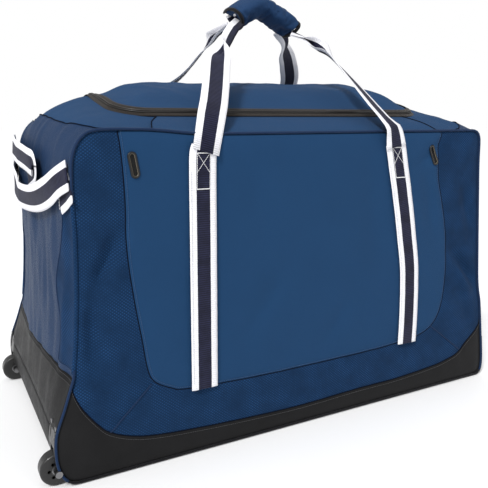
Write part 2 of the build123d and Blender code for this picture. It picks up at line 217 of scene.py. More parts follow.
def tube_parts(line, radius, sides=8, closed=False, flatten=1.0):
    """A round tube along a line of points: its points, faces and uv."""
    line = np.asarray(line, float)
    count = len(line)
    if closed:
        ahead = np.roll(line, -1, axis=0) - np.roll(line, 1, axis=0)
    else:
        ahead = np.gradient(line, axis=0)
    ahead /= np.linalg.norm(ahead, axis=1)[:, None]
    normal = np.cross(ahead[0], [0, 0, 1])
    if np.linalg.norm(normal) < 0.1:
        normal = np.cross(ahead[0], [0, 1, 0])
    normal /= np.linalg.norm(normal)
    points, uv = [], []
    travel = np.concatenate([[0], np.cumsum(np.linalg.norm(np.diff(line, axis=0), axis=1))])
    radii = np.broadcast_to(radius, (count,))
    for n in range(count):
        normal = normal - ahead[n] * (normal @ ahead[n])
        normal /= np.linalg.norm(normal)
        side = np.cross(ahead[n], normal)
        for k in range(sides):
            turn = 2 * math.pi * k / sides
            points.append(line[n] + radii[n] * (math.cos(turn) * normal + flatten * math.sin(turn) * side))
            uv.append((turn * radii[n], travel[n]))
    faces = grid_faces(count, sides, closed=True)
    if closed:
        top = (count - 1) * sides
        faces += [(top + k, top + (k + 1) % sides, (k + 1) % sides, k) for k in range(sides)]
    else:
        faces += [tuple(range(sides))[::-1], tuple(range((count - 1) * sides, count * sides))]
    return points, faces, uv


def tube(name, line, radius, material, **options):
    points, faces, uv = tube_parts(line, radius, **options)
    return new_mesh(name, points, faces, uv, [material])


def ribbon_parts(centres, sides, widths, thickness, columns=9):
    """Webbing along a line: sides are unit vectors across it. Points, faces and uv (u is 0 to 1)."""
    centres, sides = np.asarray(centres, float), np.asarray(sides, float)
    ahead = np.gradient(centres, axis=0)
    ahead /= np.linalg.norm(ahead, axis=1)[:, None]
    sides = sides - ahead * np.sum(sides * ahead, axis=1)[:, None]
    sides /= np.linalg.norm(sides, axis=1)[:, None]
    up = np.cross(ahead, sides)
    widths = np.broadcast_to(widths, (len(centres),))
    travel = np.concatenate([[0], np.cumsum(np.linalg.norm(np.diff(centres, axis=0), axis=1))])
    points, uv = [], []
    across = np.linspace(-0.5, 0.5, columns)
    edge = np.clip(1 - (2 * np.abs(across)) ** 8, 0.12, 1) * thickness / 2
    ring = [(a, e) for a, e in zip(across, edge)] + [(a, -e) for a, e in zip(across[::-1], edge[::-1])]
    for n in range(len(centres)):
        for a, e in ring:
            points.append(centres[n] + sides[n] * a * widths[n] + up[n] * e)
            uv.append((a + 0.5, travel[n]))
    count = len(ring)
    faces = grid_faces(len(centres), count, closed=True)
    faces += [tuple(range(count))[::-1], tuple(range((len(centres) - 1) * count, len(centres) * count))]
    return points, faces, uv


def stitch_parts(line, normals, pitch=0.0042, length=0.0030, radius=0.00042):
    """A row of thread stitches lying along a line."""
    count = max(2, int(length_of(line) / pitch))
    spots = evenly(np.hstack([line, normals]), 2 * count + 1)
    parts = []
    for n in range(1, 2 * count, 2):
        middle = spots[n, :3]
        ahead = spots[n + 1, :3] - spots[n - 1, :3]
        ahead /= np.linalg.norm(ahead)
        normal = spots[n, 3:] / np.linalg.norm(spots[n, 3:])
        row = [middle - ahead * length / 2 - normal * radius,
               middle - ahead * length * 0.3 + normal * radius * 0.5,
               middle + ahead * length * 0.3 + normal * radius * 0.5,
               middle + ahead * length / 2 - normal * radius]
        parts.append(tube_parts(row, radius, sides=5))
    return joined(parts)


def fill(outline, spacing, rings=(0.002, 0.0045, 0.008)):
    """A sheet of triangles inside a flat outline, finer near its edge."""
    outline = np.asarray(outline, float)
    low, high = outline.min(axis=0), outline.max(axis=0)
    rows = np.arange(low[1], high[1], spacing * 0.87)
    grid = []
    for n, v in enumerate(rows):
        start = low[0] + (spacing / 2 if n % 2 else 0)
        grid += [(u, v) for u in np.arange(start, high[0], spacing)]
    grid = np.array(grid)
    grid = grid[inside(grid, outline)]
    grid = grid[distance_to(grid, outline) > rings[-1] + spacing * 0.4]
    extra = []
    ahead = np.roll(outline, -1, axis=0) - np.roll(outline, 1, axis=0)
    normal = np.column_stack([-ahead[:, 1], ahead[:, 0]])
    normal /= np.linalg.norm(normal, axis=1)[:, None]
    area = np.sum(outline[:, 0] * np.roll(outline[:, 1], -1) - np.roll(outline[:, 0], -1) * outline[:, 1])
    for ring in rings:
        spots = outline + normal * ring * (1 if area > 0 else -1)
        keep = inside(spots, outline) & (distance_to(spots, outline) > ring * 0.95)
        extra.append(spots[keep])
    spots = np.vstack([outline, grid] + extra)
    count = len(outline)
    edges = [(n, (n + 1) % count) for n in range(count)]
    points, _, faces, *_ = geometry.delaunay_2d_cdt([Vector(p) for p in spots], edges, [], 1, 1e-6)
    return np.array([tuple(p) for p in points]), faces


# ---------------------------------------------------------------- materials
class Finish:
    """A material built from nodes: colour, roughness and bump come from a point's place on its cloth."""

    def __init__(self, name, roughness, metallic=0.0, sheen=0.0, coat=0.0, specular=0.5):
        self.made = bpy.data.materials.new(name)
        self.made.use_nodes = True
        self.tree = self.made.node_tree
        self.shader = self.tree.nodes["Principled BSDF"]
        self.shader.inputs["Roughness"].default_value = roughness
        self.shader.inputs["Metallic"].default_value = metallic
        self.shader.inputs["Sheen Weight"].default_value = sheen
        self.shader.inputs["Coat Weight"].default_value = coat
        self.shader.inputs["Specular IOR Level"].default_value = specular
        self.height = None

    def node(self, kind, **settings):
        made = self.tree.nodes.new(kind)
        for key, value in settings.items():
            setattr(made, key, value)
        return made

    def wire(self, source, target):
        if isinstance(source, (int, float)):
            target.default_value = source
        else:
            self.tree.links.new(source, target)

    def sum(self, operation, first, second=0.0, third=0.0):
        made = self.node("ShaderNodeMath", operation=operation)
        for value, socket in zip((first, second, third), made.inputs):
            self.wire(value, socket)
        return made.outputs[0]

    def cloth_place(self):
        """Across and along the cloth, in metres."""
        made = self.node("ShaderNodeSeparateXYZ")
        self.wire(self.node("ShaderNodeUVMap", uv_map="Cloth").outputs[0], made.inputs[0])
        return made.outputs[0], made.outputs[1]

    def object_place(self):
        return self.node("ShaderNodeTexCoord").outputs["Object"]

    def noise(self, size, detail=4.0, rough=0.55, place=None):
        """Clouds of about that size, in metres, from 0 to 1."""
        made = self.node("ShaderNodeTexNoise")
        made.inputs["Scale"].default_value = 1 / size
        made.inputs["Detail"].default_value = detail
        made.inputs["Roughness"].default_value = rough
        self.wire(place or self.object_place(), made.inputs["Vector"])
        return made.outputs[0]

    def wave(self, place, pitch):
        """A smooth rise and fall from 0 to 1 with that pitch."""
        turned = self.sum("MULTIPLY", place, 2 * math.pi / pitch)
        return self.sum("MULTIPLY_ADD", self.sum("SINE", turned), 0.5, 0.5)

    def ramp(self, value, low, high):
        made = self.node("ShaderNodeMapRange")
        for source, socket in zip((value, low, high), made.inputs):
            self.wire(source, socket)
        return made.outputs[0]

    def mix(self, amount, first, second):
        """A colour between two others; each is three numbers or a socket."""
        made = self.node("ShaderNodeMix", data_type="RGBA")
        self.wire(amount, made.inputs[0])
        for value, socket in ((first, made.inputs[6]), (second, made.inputs[7])):
            if isinstance(value, tuple):
                socket.default_value = (*value, 1)
            else:
                self.wire(value, socket)
        return made.outputs[2]

    def colour(self, source):
        self.wire(source, self.shader.inputs["Base Color"])

    def bump(self, height, depth, strength=1.0):
        """Raises the surface by up to depth metres where height is 1, on top of any bump already there."""
        made = self.node("ShaderNodeBump")
        made.inputs["Strength"].default_value = strength
        made.inputs["Distance"].default_value = depth
        self.wire(height, made.inputs["Height"])
        if self.height is not None:
            self.wire(self.height, made.inputs["Normal"])
        self.height = made.outputs[0]
        self.wire(self.height, self.shader.inputs["Normal"])


def light_value(*eight_bit):
    """A finish's own colour from how it looks in bright, even light."""
    bright = 0.78
    return tuple(bright * ((c / 255 + 0.055) / 1.055) ** 2.4 for c in eight_bit)


def shade(colour, amount):
    return tuple(min(1.0, c * amount) for c in colour)


def woven(name, colour, roughness, sheen, pitch=0.0011, contrast=0.18, cloud=0.10, depth=0.0002, creases=0.0):
    """Plain-woven coated nylon: fine threads each way, faint clouds and, if wanted, small creases."""
    f = Finish(name, roughness, sheen=sheen, specular=0.07)
    u, v = f.cloth_place()
    threads = f.sum("MULTIPLY", f.wave(f.sum("ADD", u, v), pitch), f.wave(f.sum("SUBTRACT", u, v), pitch))
    fuzz = f.noise(0.0016, 2.0)
    clouds = f.noise(0.07, 5.0)
    mixed = f.sum("ADD", f.sum("MULTIPLY", threads, contrast), f.sum("MULTIPLY", fuzz, contrast * 0.6))
    mixed = f.sum("ADD", mixed, f.sum("MULTIPLY", clouds, cloud))
    f.colour(f.mix(f.ramp(mixed, 0.0, contrast * 1.2 + cloud), shade(colour, 0.80), shade(colour, 1.24)))
    f.bump(f.sum("ADD", threads, fuzz), depth)
    if creases:
        f.bump(f.noise(0.028, 7.0, 0.6), creases, 0.6)
    return f.made


def honeycomb(name, colour, pitch=0.0062):
    """Coarse textured polyester in rows that fade in and out: its colour is painted lighter on the raised
    diamonds as a highlight and darker in the gaps between them as shade.
    """
    f = Finish(name, 0.75, sheen=0.01, specular=0.06)
    u, v = f.cloth_place()
    along = f.sum("MULTIPLY", v, 1.25)
    first = f.wave(f.sum("ADD", u, along), pitch)
    second = f.wave(f.sum("SUBTRACT", u, along), pitch)
    knots = f.sum("MULTIPLY", first, second)
    fine = f.wave(f.sum("ADD", f.sum("MULTIPLY", u, 0.35), v), 0.0016)
    clouds = f.noise(0.05, 4.0)
    relief_light_and_shade = f.sum("MULTIPLY_ADD", knots, f.ramp(clouds, 0.30, 0.65), f.sum("MULTIPLY", fine, 0.22))
    # Painted highlight and shade: the colour follows the relief, lightest on the raised diamonds and darkest
    # in the gaps.
    f.colour(f.mix(f.ramp(relief_light_and_shade, 0.02, 0.95), shade(colour, 0.55), shade(colour, 1.85)))
    f.bump(knots, 0.0007)
    f.bump(fine, 0.0002, 0.5)
    f.bump(f.noise(0.035, 5.0), 0.0012, 0.35)
    return f.made


def coated(name, colour):
    """Charcoal tarpaulin: a smooth coat over a scrim, with soft scuffs and creases."""
    f = Finish(name, 0.66, specular=0.06)
    u, v = f.cloth_place()
    scrim = f.sum("MAXIMUM", f.wave(u, 0.0022), f.wave(v, 0.0022))
    clouds = f.noise(0.05, 6.0, 0.6)
    scuffs = f.noise(0.006, 5.0, 0.7)
    f.colour(f.mix(f.ramp(f.sum("MULTIPLY_ADD", scuffs, 0.35, clouds), 0.45, 0.95), shade(colour, 0.82),
                   shade(colour, 1.20)))
    f.wire(f.ramp(f.sum("ADD", clouds, scuffs), -0.5, 2.6), f.shader.inputs["Roughness"])
    f.bump(scrim, 0.00012, 0.5)
    f.bump(f.noise(0.03, 6.0, 0.6), 0.0016, 0.45)
    return f.made


def striped(name, edge, middle, ribs=0.0036):
    """Two-inch webbing: pale bands a quarter wide down both edges, ribbed across."""
    f = Finish(name, 0.65, sheen=0.04, specular=0.15)
    u, v = f.cloth_place()
    from_middle = f.sum("ABSOLUTE", f.sum("SUBTRACT", u, 0.5))
    ripple = f.sum("MULTIPLY", f.sum("SUBTRACT", f.noise(0.004, 2.0), 0.5), 0.012)
    band = f.ramp(f.sum("ADD", from_middle, ripple), 0.247, 0.255)
    rib = f.wave(v, ribs)
    thread = f.wave(f.sum("MULTIPLY", u, 0.05), 0.0009)
    soil = f.noise(0.02, 5.0, 0.6)
    dark = f.mix(f.sum("MULTIPLY", rib, f.ramp(soil, 0.2, 0.8)), shade(middle, 0.40), shade(middle, 1.75))
    pale = f.mix(f.sum("MULTIPLY_ADD", rib, 0.5, f.sum("MULTIPLY", thread, 0.3)), shade(edge, 0.86), edge)
    f.colour(f.mix(band, dark, pale))
    f.bump(rib, 0.0005, 0.8)
    f.bump(thread, 0.00012, 0.5)
    return f.made


def moulded(name, colour, roughness, grain=0.0, grain_size=0.0022, coat=0.0):
    """Plastic with a fine mould texture, faint flow marks and light wear."""
    f = Finish(name, roughness, coat=coat, specular=0.5)
    clouds = f.noise(0.02, 5.0)
    f.colour(f.mix(f.ramp(clouds, 0.3, 0.7), shade(colour, 0.8), shade(colour, 1.25)))
    f.wire(f.ramp(f.noise(0.008, 6.0, 0.65), -0.9 + roughness, 1.9), f.shader.inputs["Roughness"])
    if grain:
        cells = f.node("ShaderNodeTexVoronoi", feature="F1")
        cells.inputs["Scale"].default_value = 1 / grain_size
        f.wire(f.object_place(), cells.inputs["Vector"])
        f.bump(f.ramp(cells.outputs["Distance"], 0.6, 0.0), grain)
    f.bump(f.noise(0.0012, 2.0), 0.00006, 0.5)
    return f.made


def metal(name, colour, roughness):
    """Brushed, slightly dulled metal."""
    f = Finish(name, roughness, metallic=1.0)
    f.colour(f.mix(f.noise(0.006, 5.0), shade(colour, 0.75), shade(colour, 1.1)))
    f.wire(f.ramp(f.noise(0.0016, 4.0), -0.6 + roughness, 1.8), f.shader.inputs["Roughness"])
    f.bump(f.noise(0.0007, 3.0), 0.00004, 0.6)
    return f.made


def perforated(name, colour, pitch=0.0024):
    """Stiff screen cloth with rows of holes, painted near black as the shade seen through them."""
    f = Finish(name, 0.7, specular=0.3)
    place = f.node("ShaderNodeSeparateXYZ")
    f.wire(f.object_place(), place.inputs[0])
    holes = f.sum("MULTIPLY", f.wave(place.outputs[0], pitch), f.wave(place.outputs[2], pitch))
    # Painted shade: the holes are coloured near black for the dark inside the bag seen through them.
    f.colour(f.mix(f.ramp(holes, 0.35, 0.6), colour, shade(colour, 0.15)))
    f.bump(holes, -0.0006)
    return f.made


OVERLAY_CLOTH = woven("overlay cloth", light_value(34, 71, 111), 0.78, 0.02, contrast=0.24, creases=0.0016)
TOP_CLOTH = woven("top cloth", light_value(38, 72, 111), 0.75, 0.02, contrast=0.22, creases=0.0018)
SATIN = woven("satin nylon", light_value(31, 58, 94), 0.45, 0.02, pitch=0.0008, contrast=0.10, creases=0.0020)
MESH_CLOTH = honeycomb("textured cloth", light_value(27, 59, 97))
TARPAULIN = coated("charcoal tarpaulin", light_value(35, 35, 36))
WEB = striped("striped webbing", (0.90, 0.90, 0.94), light_value(40, 42, 68))
GRIP_CLOTH = woven("grip cloth", light_value(38, 66, 104), 0.7, 0.02, pitch=0.0016, contrast=0.25,
                   creases=0.0012)
BINDING = woven("black binding tape", light_value(24, 24, 28), 0.7, 0.1, pitch=0.0018, contrast=0.3)
PIPING = woven("corded piping", light_value(30, 52, 86), 0.6, 0.05, pitch=0.0015, contrast=0.22)
# Painted shade: a near-black cloth for thin tubes laid along the seams, standing in for the shade in their
# grooves.
SEAM_PAINTED_SHADE = woven("seam shadow tape", light_value(13, 18, 34), 0.85, 0.0, pitch=0.0014, contrast=0.2)
ZIP_TAPE = woven("zip tape", light_value(40, 34, 29), 0.6, 0.15, pitch=0.0016, contrast=0.3, depth=0.0003)
ZIP_COIL = moulded("zip coil", light_value(28, 24, 21), 0.4, coat=0.1)
LINING = woven("dark lining", light_value(52, 54, 60), 0.8, 0.1, pitch=0.0018, contrast=0.25)
THREAD_WHITE = woven("white thread", (0.86, 0.86, 0.90), 0.6, 0.1, pitch=0.0006, contrast=0.2)
THREAD_BLUE = woven("blue thread", light_value(66, 98, 142), 0.6, 0.1, pitch=0.0006, contrast=0.2)
THREAD_GREY = woven("grey thread", light_value(84, 84, 86), 0.6, 0.1, pitch=0.0006, contrast=0.2)
GUARD_PLASTIC = moulded("pebbled plastic", light_value(27, 27, 29), 0.55, grain=0.0007)
SMOOTH_PLASTIC = moulded("smooth black plastic", light_value(12, 12, 13), 0.35, coat=0.15)
TYRE = moulded("black tyre", light_value(8, 8, 9), 0.20, coat=0.25)
HUB = moulded("hub plastic", light_value(13, 13, 14), 0.30, coat=0.15)
STEEL = metal("steel", light_value(150, 150, 152), 0.32)
GUNMETAL = metal("zip metal", light_value(70, 66, 62), 0.36)
BOARD = moulded("base board", light_value(60, 60, 62), 0.7, grain=0.0003, grain_size=0.004)
FRAME_PLASTIC = moulded("vent frame", light_value(9, 9, 10), 0.45)
# Painted highlight: a pale plastic standing in for the light caught on the black vent frame's rim.
VENT_RIM_HIGHLIGHT = moulded("vent rim painted highlight", light_value(112, 104, 88), 0.5)
SCREEN = perforated("vent screen", light_value(14, 14, 15))


# ---------------------------------------------------------------- the bag's shape
def rounded(points, radii, steps=14):
    """A flat line with its inner corners rounded; every piece has a fixed number of points."""
    p = [np.array(q, float) for q in points]
    line = [p[0]]
    for n, radius in enumerate(radii, start=1):
        back, ahead = p[n - 1] - p[n], p[n + 1] - p[n]
        back, ahead = back / np.linalg.norm(back), ahead / np.linalg.norm(ahead)
        half = math.acos(np.clip(back @ ahead, -1, 1)) / 2
        reach = radius / math.tan(half)
        middle = back + ahead
        centre = p[n] + middle / np.linalg.norm(middle) * radius / math.sin(half)
        start, end = p[n] + back * reach - centre, p[n] + ahead * reach - centre
        for t in np.linspace(0, 1, steps):
            spoke = start * (1 - t) + end * t
            line.append(centre + spoke / np.linalg.norm(spoke) * radius)
    line.append(p[-1])
    return np.array(line)


FLOOR = 0.0012
# Each end in profile, out from the zip and down to the floor, as (distance from the middle, height):
# along the front and back seams, and halfway between them where the end is fuller.
WHEEL_SEAM = [
    [(0.326, 0.5475), (0.350, 0.5480), (0.372, 0.5475), (0.388, 0.5455), (0.3995, 0.5405), (0.4090, 0.5295),
     (0.4155, 0.515), (0.4190, 0.497), (0.4200, 0.470), (0.4195, 0.435), (0.4180, 0.400)],
    [(0.4180, 0.400), (0.4182, 0.357), (0.4200, 0.2965), (0.4236, 0.235), (0.4298, 0.172)],
    [(0.4298, 0.172), (0.4345, 0.159), (0.4446, 0.128), (0.4556, 0.0985), (0.4598, 0.080), (0.4605, 0.060),
     (0.4590, 0.040), (0.4525, 0.020), (0.4400, 0.0065), (0.4200, FLOOR)]]
WHEEL_MIDDLE = [
    [(0.326, 0.606), (0.345, 0.6015), (0.372, 0.588), (0.398, 0.573), (0.419, 0.553), (0.431, 0.528),
     (0.4365, 0.500), (0.438, 0.450), (0.4385, 0.400)],
    [(0.4385, 0.400), (0.4400, 0.300), (0.4440, 0.200), (0.4460, 0.172)],
    [(0.4460, 0.172), (0.4510, 0.120), (0.4570, 0.070), (0.4585, 0.040), (0.4525, 0.020), (0.4400, 0.0065),
     (0.4200, FLOOR)]]
TOW_SEAM = [
    [(0.326, 0.5395), (0.350, 0.5395), (0.378, 0.5395), (0.395, 0.5392), (0.4050, 0.5365), (0.4115, 0.5295),
     (0.4145, 0.515), (0.4155, 0.4675), (0.4200, 0.400)],
    [(0.4200, 0.400), (0.4283, 0.2855), (0.4346, 0.2121), (0.4440, 0.172)],
    [(0.4440, 0.172), (0.4530, 0.103), (0.4590, 0.050), (0.4600, 0.024), (0.4565, 0.010), (0.4470, 0.0035),
     (0.4330, FLOOR)]]
TOW_MIDDLE = [
    [(0.326, 0.606), (0.345, 0.604), (0.366, 0.5935), (0.385, 0.578), (0.399, 0.556), (0.4075, 0.530),
     (0.4115, 0.500), (0.4180, 0.450), (0.4240, 0.400)],
    [(0.4240, 0.400), (0.4330, 0.300), (0.4420, 0.210), (0.4460, 0.172)],
    TOW_SEAM[2]]


def seam_height(x):
    """Height of the front wall's top seam: it stands a little higher at the wheel end."""
    return 0.5395 + 0.008 * smooth(-0.20, -0.32, x) * np.ones_like(x)


def end_profile(segments):
    """The profile with the same number of points between its landmarks whichever end or line it is."""
    line = [curve(part, count)[:-1] for part, count in zip(segments, (40, 24, 40))]
    base = evenly(np.array([segments[2][-1], (0.0, FLOOR)]), 30)
    return np.vstack([[(ZIP_X - 0.16, segments[0][0][1])]] + line + [base])


PROFILES = {}
for SIDE, SEAM_LINE, MIDDLE_LINE in ((-1, WHEEL_SEAM, WHEEL_MIDDLE), (1, TOW_SEAM, TOW_MIDDLE)):
    outer, middle = end_profile(SEAM_LINE), end_profile(MIDDLE_LINE)
    travelled = np.concatenate([[0], np.cumsum(np.linalg.norm(np.diff(outer, axis=0), axis=1))]) - 0.16
    PROFILES[SIDE] = (travelled, outer, middle, outer[0, 1])
WALL_PART = slice(24, 95)


def rim_height(y):
    """The top's height at the zip's end runs: straight slopes up to a softened crown."""
    y = np.abs(y)
    crown = RIM + (RIM_CROWN - RIM) * (1 - np.sqrt(y ** 2 + 0.008 ** 2) / ZIP_Y)
    outer = RIM + (SEAM - 0.004 - RIM) * (y - ZIP_Y) / (EDGE_Y - ZIP_Y)
    return np.where(y < ZIP_Y, crown, outer)


def wrinkled(points, amount, side):
    """Soft upright folds, strongest where the end cloth is loose and gone at its corded edges."""
    folds = noise_at(points, (0.5, 0.030, 0.16), 3.1 * side)
    small = noise_at(points, (0.5, 0.017, 0.07), 7.7 * side)
    broad = noise_at(points, (0.14, 0.11, 0.10), 1.9)
    return amount * (0.9 * folds + 0.35 * small + 0.7 * broad)


def band_points(side, spots, slack=0.0052):
    """Points on an end of the bag from (distance from the zip along the outside, y)."""
    travelled, outer, middle, low_top = PROFILES[side]
    t, y = spots[:, 0], spots[:, 1]
    rise = (rim_height(y) - low_top) / (RIM_CROWN - low_top)
    rise = np.clip(rise, 0, 1)
    low = np.column_stack([np.interp(t, travelled, outer[:, k]) for k in (0, 1)])
    high = np.column_stack([np.interp(t, travelled, middle[:, k]) for k in (0, 1)])
    flat = low + (high - low) * rise[:, None]
    step = 0.004
    after = np.column_stack([np.interp(t + step, travelled, outer[:, k]) for k in (0, 1)])
    before = np.column_stack([np.interp(t - step, travelled, outer[:, k]) for k in (0, 1)])
    ahead = after - before
    ahead /= np.linalg.norm(ahead, axis=1)[:, None]
    normal = np.column_stack([-ahead[:, 1], ahead[:, 0]])
    points = np.column_stack([side * flat[:, 0], y, flat[:, 1]])
    edge = smooth(0, 0.045, EDGE_Y - np.abs(y))
    near_zip = smooth(0.0, 0.05, t)
    foot = smooth(0.03, 0.14, flat[:, 1])
    puff = (0.005 * edge * near_zip + wrinkled(points, slack, side) * edge * near_zip) * foot
    points[:, 0] += side * normal[:, 0] * puff
    points[:, 2] += normal[:, 1] * puff
    return points


def band_edge(side):
    """The end's outline in the plane of the front wall, from the zip's line to under the base."""
    travelled, outer, _, _ = PROFILES[side]
    keep = travelled >= 0
    return travelled[keep], np.column_stack([side * outer[keep, 0], outer[keep, 1]])


def distance_along(side, height):
    """How far along the outside an end wall reaches a height, measured from the zip."""
    travelled, outer, _, _ = PROFILES[side]
    return float(np.interp(-height, -outer[WALL_PART, 1], travelled[WALL_PART]))


def face_outline():
    """The front wall's whole edge, anticlockwise from the top seam's tow end."""
    top_x = np.linspace(ZIP_X, -ZIP_X, 80)
    top = np.column_stack([top_x, seam_height(top_x)])
    wheel, tow = band_edge(-1)[1], band_edge(1)[1]
    ring = np.vstack([top, wheel[1:], tow[::-1][1:-1]])
    return evenly(np.vstack([ring, ring[:1]]), 420)[:-1]


FACE = face_outline()


def face_point_at(side, height):
    """Where the front wall's edge passes a height at one end."""
    at_end = np.where(FACE[:, 0] * side > 0.38, np.abs(FACE[:, 1] - height), 9)
    return tuple(FACE[int(np.argmin(at_end))])


BASE_CURVE = curve([
    face_point_at(-1, 0.163), (-0.4295, 0.146), (-0.418, 0.122), (-0.394, 0.090), (-0.375, 0.074),
    (-0.338, 0.059), (-0.296, 0.051), (-0.225, 0.045), (-0.140, 0.041), (-0.023, 0.038),
    (0.117, 0.042), (0.219, 0.043),
    (0.330, 0.052), (0.381, 0.067), (0.401, 0.084), (0.428, 0.104), face_point_at(1, 0.125)], 150)
OVERLAY_EDGE = curve([
    (-0.350, 0.5445), (-0.346, 0.502), (-0.343, 0.442), (-0.342, 0.365), (-0.333, 0.285), (-0.322, 0.218),
    (-0.314, 0.167), (-0.303, 0.144), (-0.277, 0.128), (-0.244, 0.119), (-0.120, 0.114), (0.000, 0.113),
    (0.120, 0.114), (0.215, 0.118), (0.269, 0.125), (0.301, 0.141), (0.321, 0.170), (0.332, 0.230),
    (0.332, 0.296), (0.324, 0.350), (0.312, 0.401), (0.299, 0.450), (0.2985, 0.502), (0.310, 0.5385)], 260)


# Where the loosely filled front wall has sunk into folds: two ends, depth and half-width.
FOLDS = [((-0.352, 0.395), (-0.402, 0.288), 0.0075, 0.011), ((-0.400, 0.300), (-0.398, 0.180), 0.0060, 0.009),
         ((-0.384, 0.330), (-0.420, 0.262), -0.0030, 0.010), ((0.345, 0.300), (0.428, 0.214), 0.0075, 0.010),
         ((0.362, 0.262), (0.412, 0.180), -0.0030, 0.012), ((0.372, 0.440), (0.402, 0.330), 0.0045, 0.012),
         ((0.268, 0.455), (0.292, 0.330), 0.0025, 0.012), ((0.120, 0.480), (0.150, 0.300), 0.0016, 0.020),
         ((-0.140, 0.180), (-0.060, 0.300), 0.0014, 0.016), ((0.240, 0.470), (0.330, 0.532), 0.0025, 0.009),
         ((-0.150, 0.500), (-0.090, 0.380), 0.0014, 0.018), ((0.020, 0.140), (0.090, 0.230), 0.0013, 0.016)]


def fold_depth(spots):
    sunk = np.zeros(len(spots))
    for start, end, depth, width in FOLDS:
        a, b = np.array(start), np.array(end)
        t = np.clip((spots - a) @ (b - a) / ((b - a) @ (b - a)), 0, 1)
        bow = np.sin(math.pi * t)
        off = np.linalg.norm(spots - a - t[:, None] * (b - a), axis=1)
        sunk += 1.9 * depth * np.exp(-(off / (1.2 * width)) ** 2) * (0.25 + 0.75 * bow)
    return sunk


def face_depth(spots, spread=1.0):
    """How far out the front wall stands at each (x, z): it curls back at its edge and ripples a little."""
    away = distance_to(spots, FACE)
    at = np.column_stack([spots[:, 0], np.zeros(len(spots)), spots[:, 1]])
    broad = noise_at(at, (0.13, 1, 0.17), 4.2)
    diagonal = noise_at(np.column_stack([at[:, 0] + 0.6 * at[:, 2], at[:, 1], at[:, 2] - 0.6 * at[:, 0]]),
                        (0.035, 1, 0.13), 2.4)
    corner = np.exp(-((spots[:, 0] + 0.40) / 0.06) ** 2) + np.exp(-((spots[:, 0] - 0.385) / 0.05) ** 2)
    ripple = spread * (0.0012 * broad + 0.0011 * diagonal * (0.6 + 2.2 * corner)) * smooth(0.004, 0.05, away)
    seam = 0.0012 * np.exp(-(distance_to(spots, OVERLAY_EDGE, closed=False) / 0.006) ** 2)
    low_seam = 0.0010 * np.exp(-(distance_to(spots, BASE_CURVE, closed=False) / 0.005) ** 2)
    sunk = fold_depth(spots) * smooth(0.0, 0.02, away)
    return HALF_DEPTH - EDGE_ROLL * np.exp(-away / 0.012) + ripple - seam - low_seam - sunk - 0.0012


def face_points(spots, side, lift=0.0):
    depth = face_depth(spots) + lift
    return np.column_stack([spots[:, 0], side * depth, spots[:, 1]])


def outward_y(side):
    return lambda centre: (0, side, 0)


def from_middle(centre):
    return (centre.x * 0.6, centre.y * 0.6, centre.z - 0.3)


def cut_face(above):
    """The front wall's edge, above or below the sweep where the charcoal base cover starts."""
    start, end = BASE_CURVE[0], BASE_CURVE[-1]
    near_start = int(np.argmin(np.linalg.norm(FACE - start, axis=1)))
    near_end = int(np.argmin(np.linalg.norm(FACE - end, axis=1)))
    ring = np.roll(FACE, -near_start, axis=0)
    split = (near_end - near_start) % len(FACE)
    lower, upper = ring[:split + 1], ring[split:]
    if above:
        return np.vstack([upper[1:-1], BASE_CURVE])
    return np.vstack([lower[1:-1], BASE_CURVE[::-1]])


UPPER_FACE, LOWER_FACE = cut_face(True), cut_face(False)
for SIDE, END in ((-1, "front"), (1, "back")):
    spots, faces = fill(UPPER_FACE, 0.008)
    wall = new_mesh(f"{END}_wall", face_points(spots, SIDE), faces, spots, [MESH_CLOTH, LINING])
    face_outward(wall, outward_y(SIDE))
    thicken(wall, CLOTH)
    settle(wall, "bag", [f"{END}_panel"])


# ---------------------------------------------------------------- charcoal base cover
def band_grid(t_low, t_high, y_low, y_high, spacing=0.009):
    rows = max(3, int((t_high - t_low) / spacing))
    columns = max(3, int((y_high - y_low) / spacing))
    t, y = np.meshgrid(np.linspace(t_low, t_high, rows), np.linspace(y_low, y_high, columns), indexing="ij")
    return np.column_stack([t.ravel(), y.ravel()]), grid_faces(rows, columns)


NOTCH_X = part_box("front_wheel_housing")[1][0] - MID_X
NOTCH_Y = -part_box("front_wheel_housing")[1][1]
NOTCH_Z = 0.0885
COVER_TOP = {-1: 0.172, 1: 0.128}
cover_parts = []
for SIDE in (-1, 1):
    start = distance_along(SIDE, COVER_TOP[SIDE])
    end = PROFILES[SIDE][0][-1]
    if SIDE < 0:
        notch_start = distance_along(SIDE, NOTCH_Z)
        notch_end = end + NOTCH_X + 0.002
        areas = [(start, notch_start, -EDGE_Y, EDGE_Y), (notch_start, notch_end, -NOTCH_Y, NOTCH_Y),
                 (notch_end, end, -EDGE_Y, EDGE_Y)]
    else:
        areas = [(start, end, -EDGE_Y, EDGE_Y)]
    for area in areas:
        spots, faces = band_grid(*area)
        points = band_points(SIDE, spots, 0.0022)
        if SIDE > 0:
            faces = [face[::-1] for face in faces]
        cover_parts.append((points, faces, spots))
for SIDE in (-1, 1):
    spots, faces = fill(LOWER_FACE, 0.009)
    if SIDE > 0:
        faces = [face[::-1] for face in faces]
    cover_parts.append((face_points(spots, SIDE), faces, spots))
points, faces, uv = joined(cover_parts)
cover = new_mesh("charcoal_base_cover", points, faces, uv, [TARPAULIN, LINING])
for face in cover.data.polygons:
    centre = face.center - Vector((MID_X, 0, 0))
    outward = Vector((centre.x * 0.5, centre.y, 0)) + Vector((0, 0, -0.4 if centre.z < 0.03 else 0))
    if face.normal.dot(outward) < 0:
        face.flip()
thicken(cover, CLOTH)
settle(cover, "bag", ["base_cover"])



# ---------------------------------------------------------------- end walls and the strips round the zip
ZIP_CORNER = 0.060
GUSSET_EDGE = 0.077      # where the end cloth is sewn to the strip round the zip


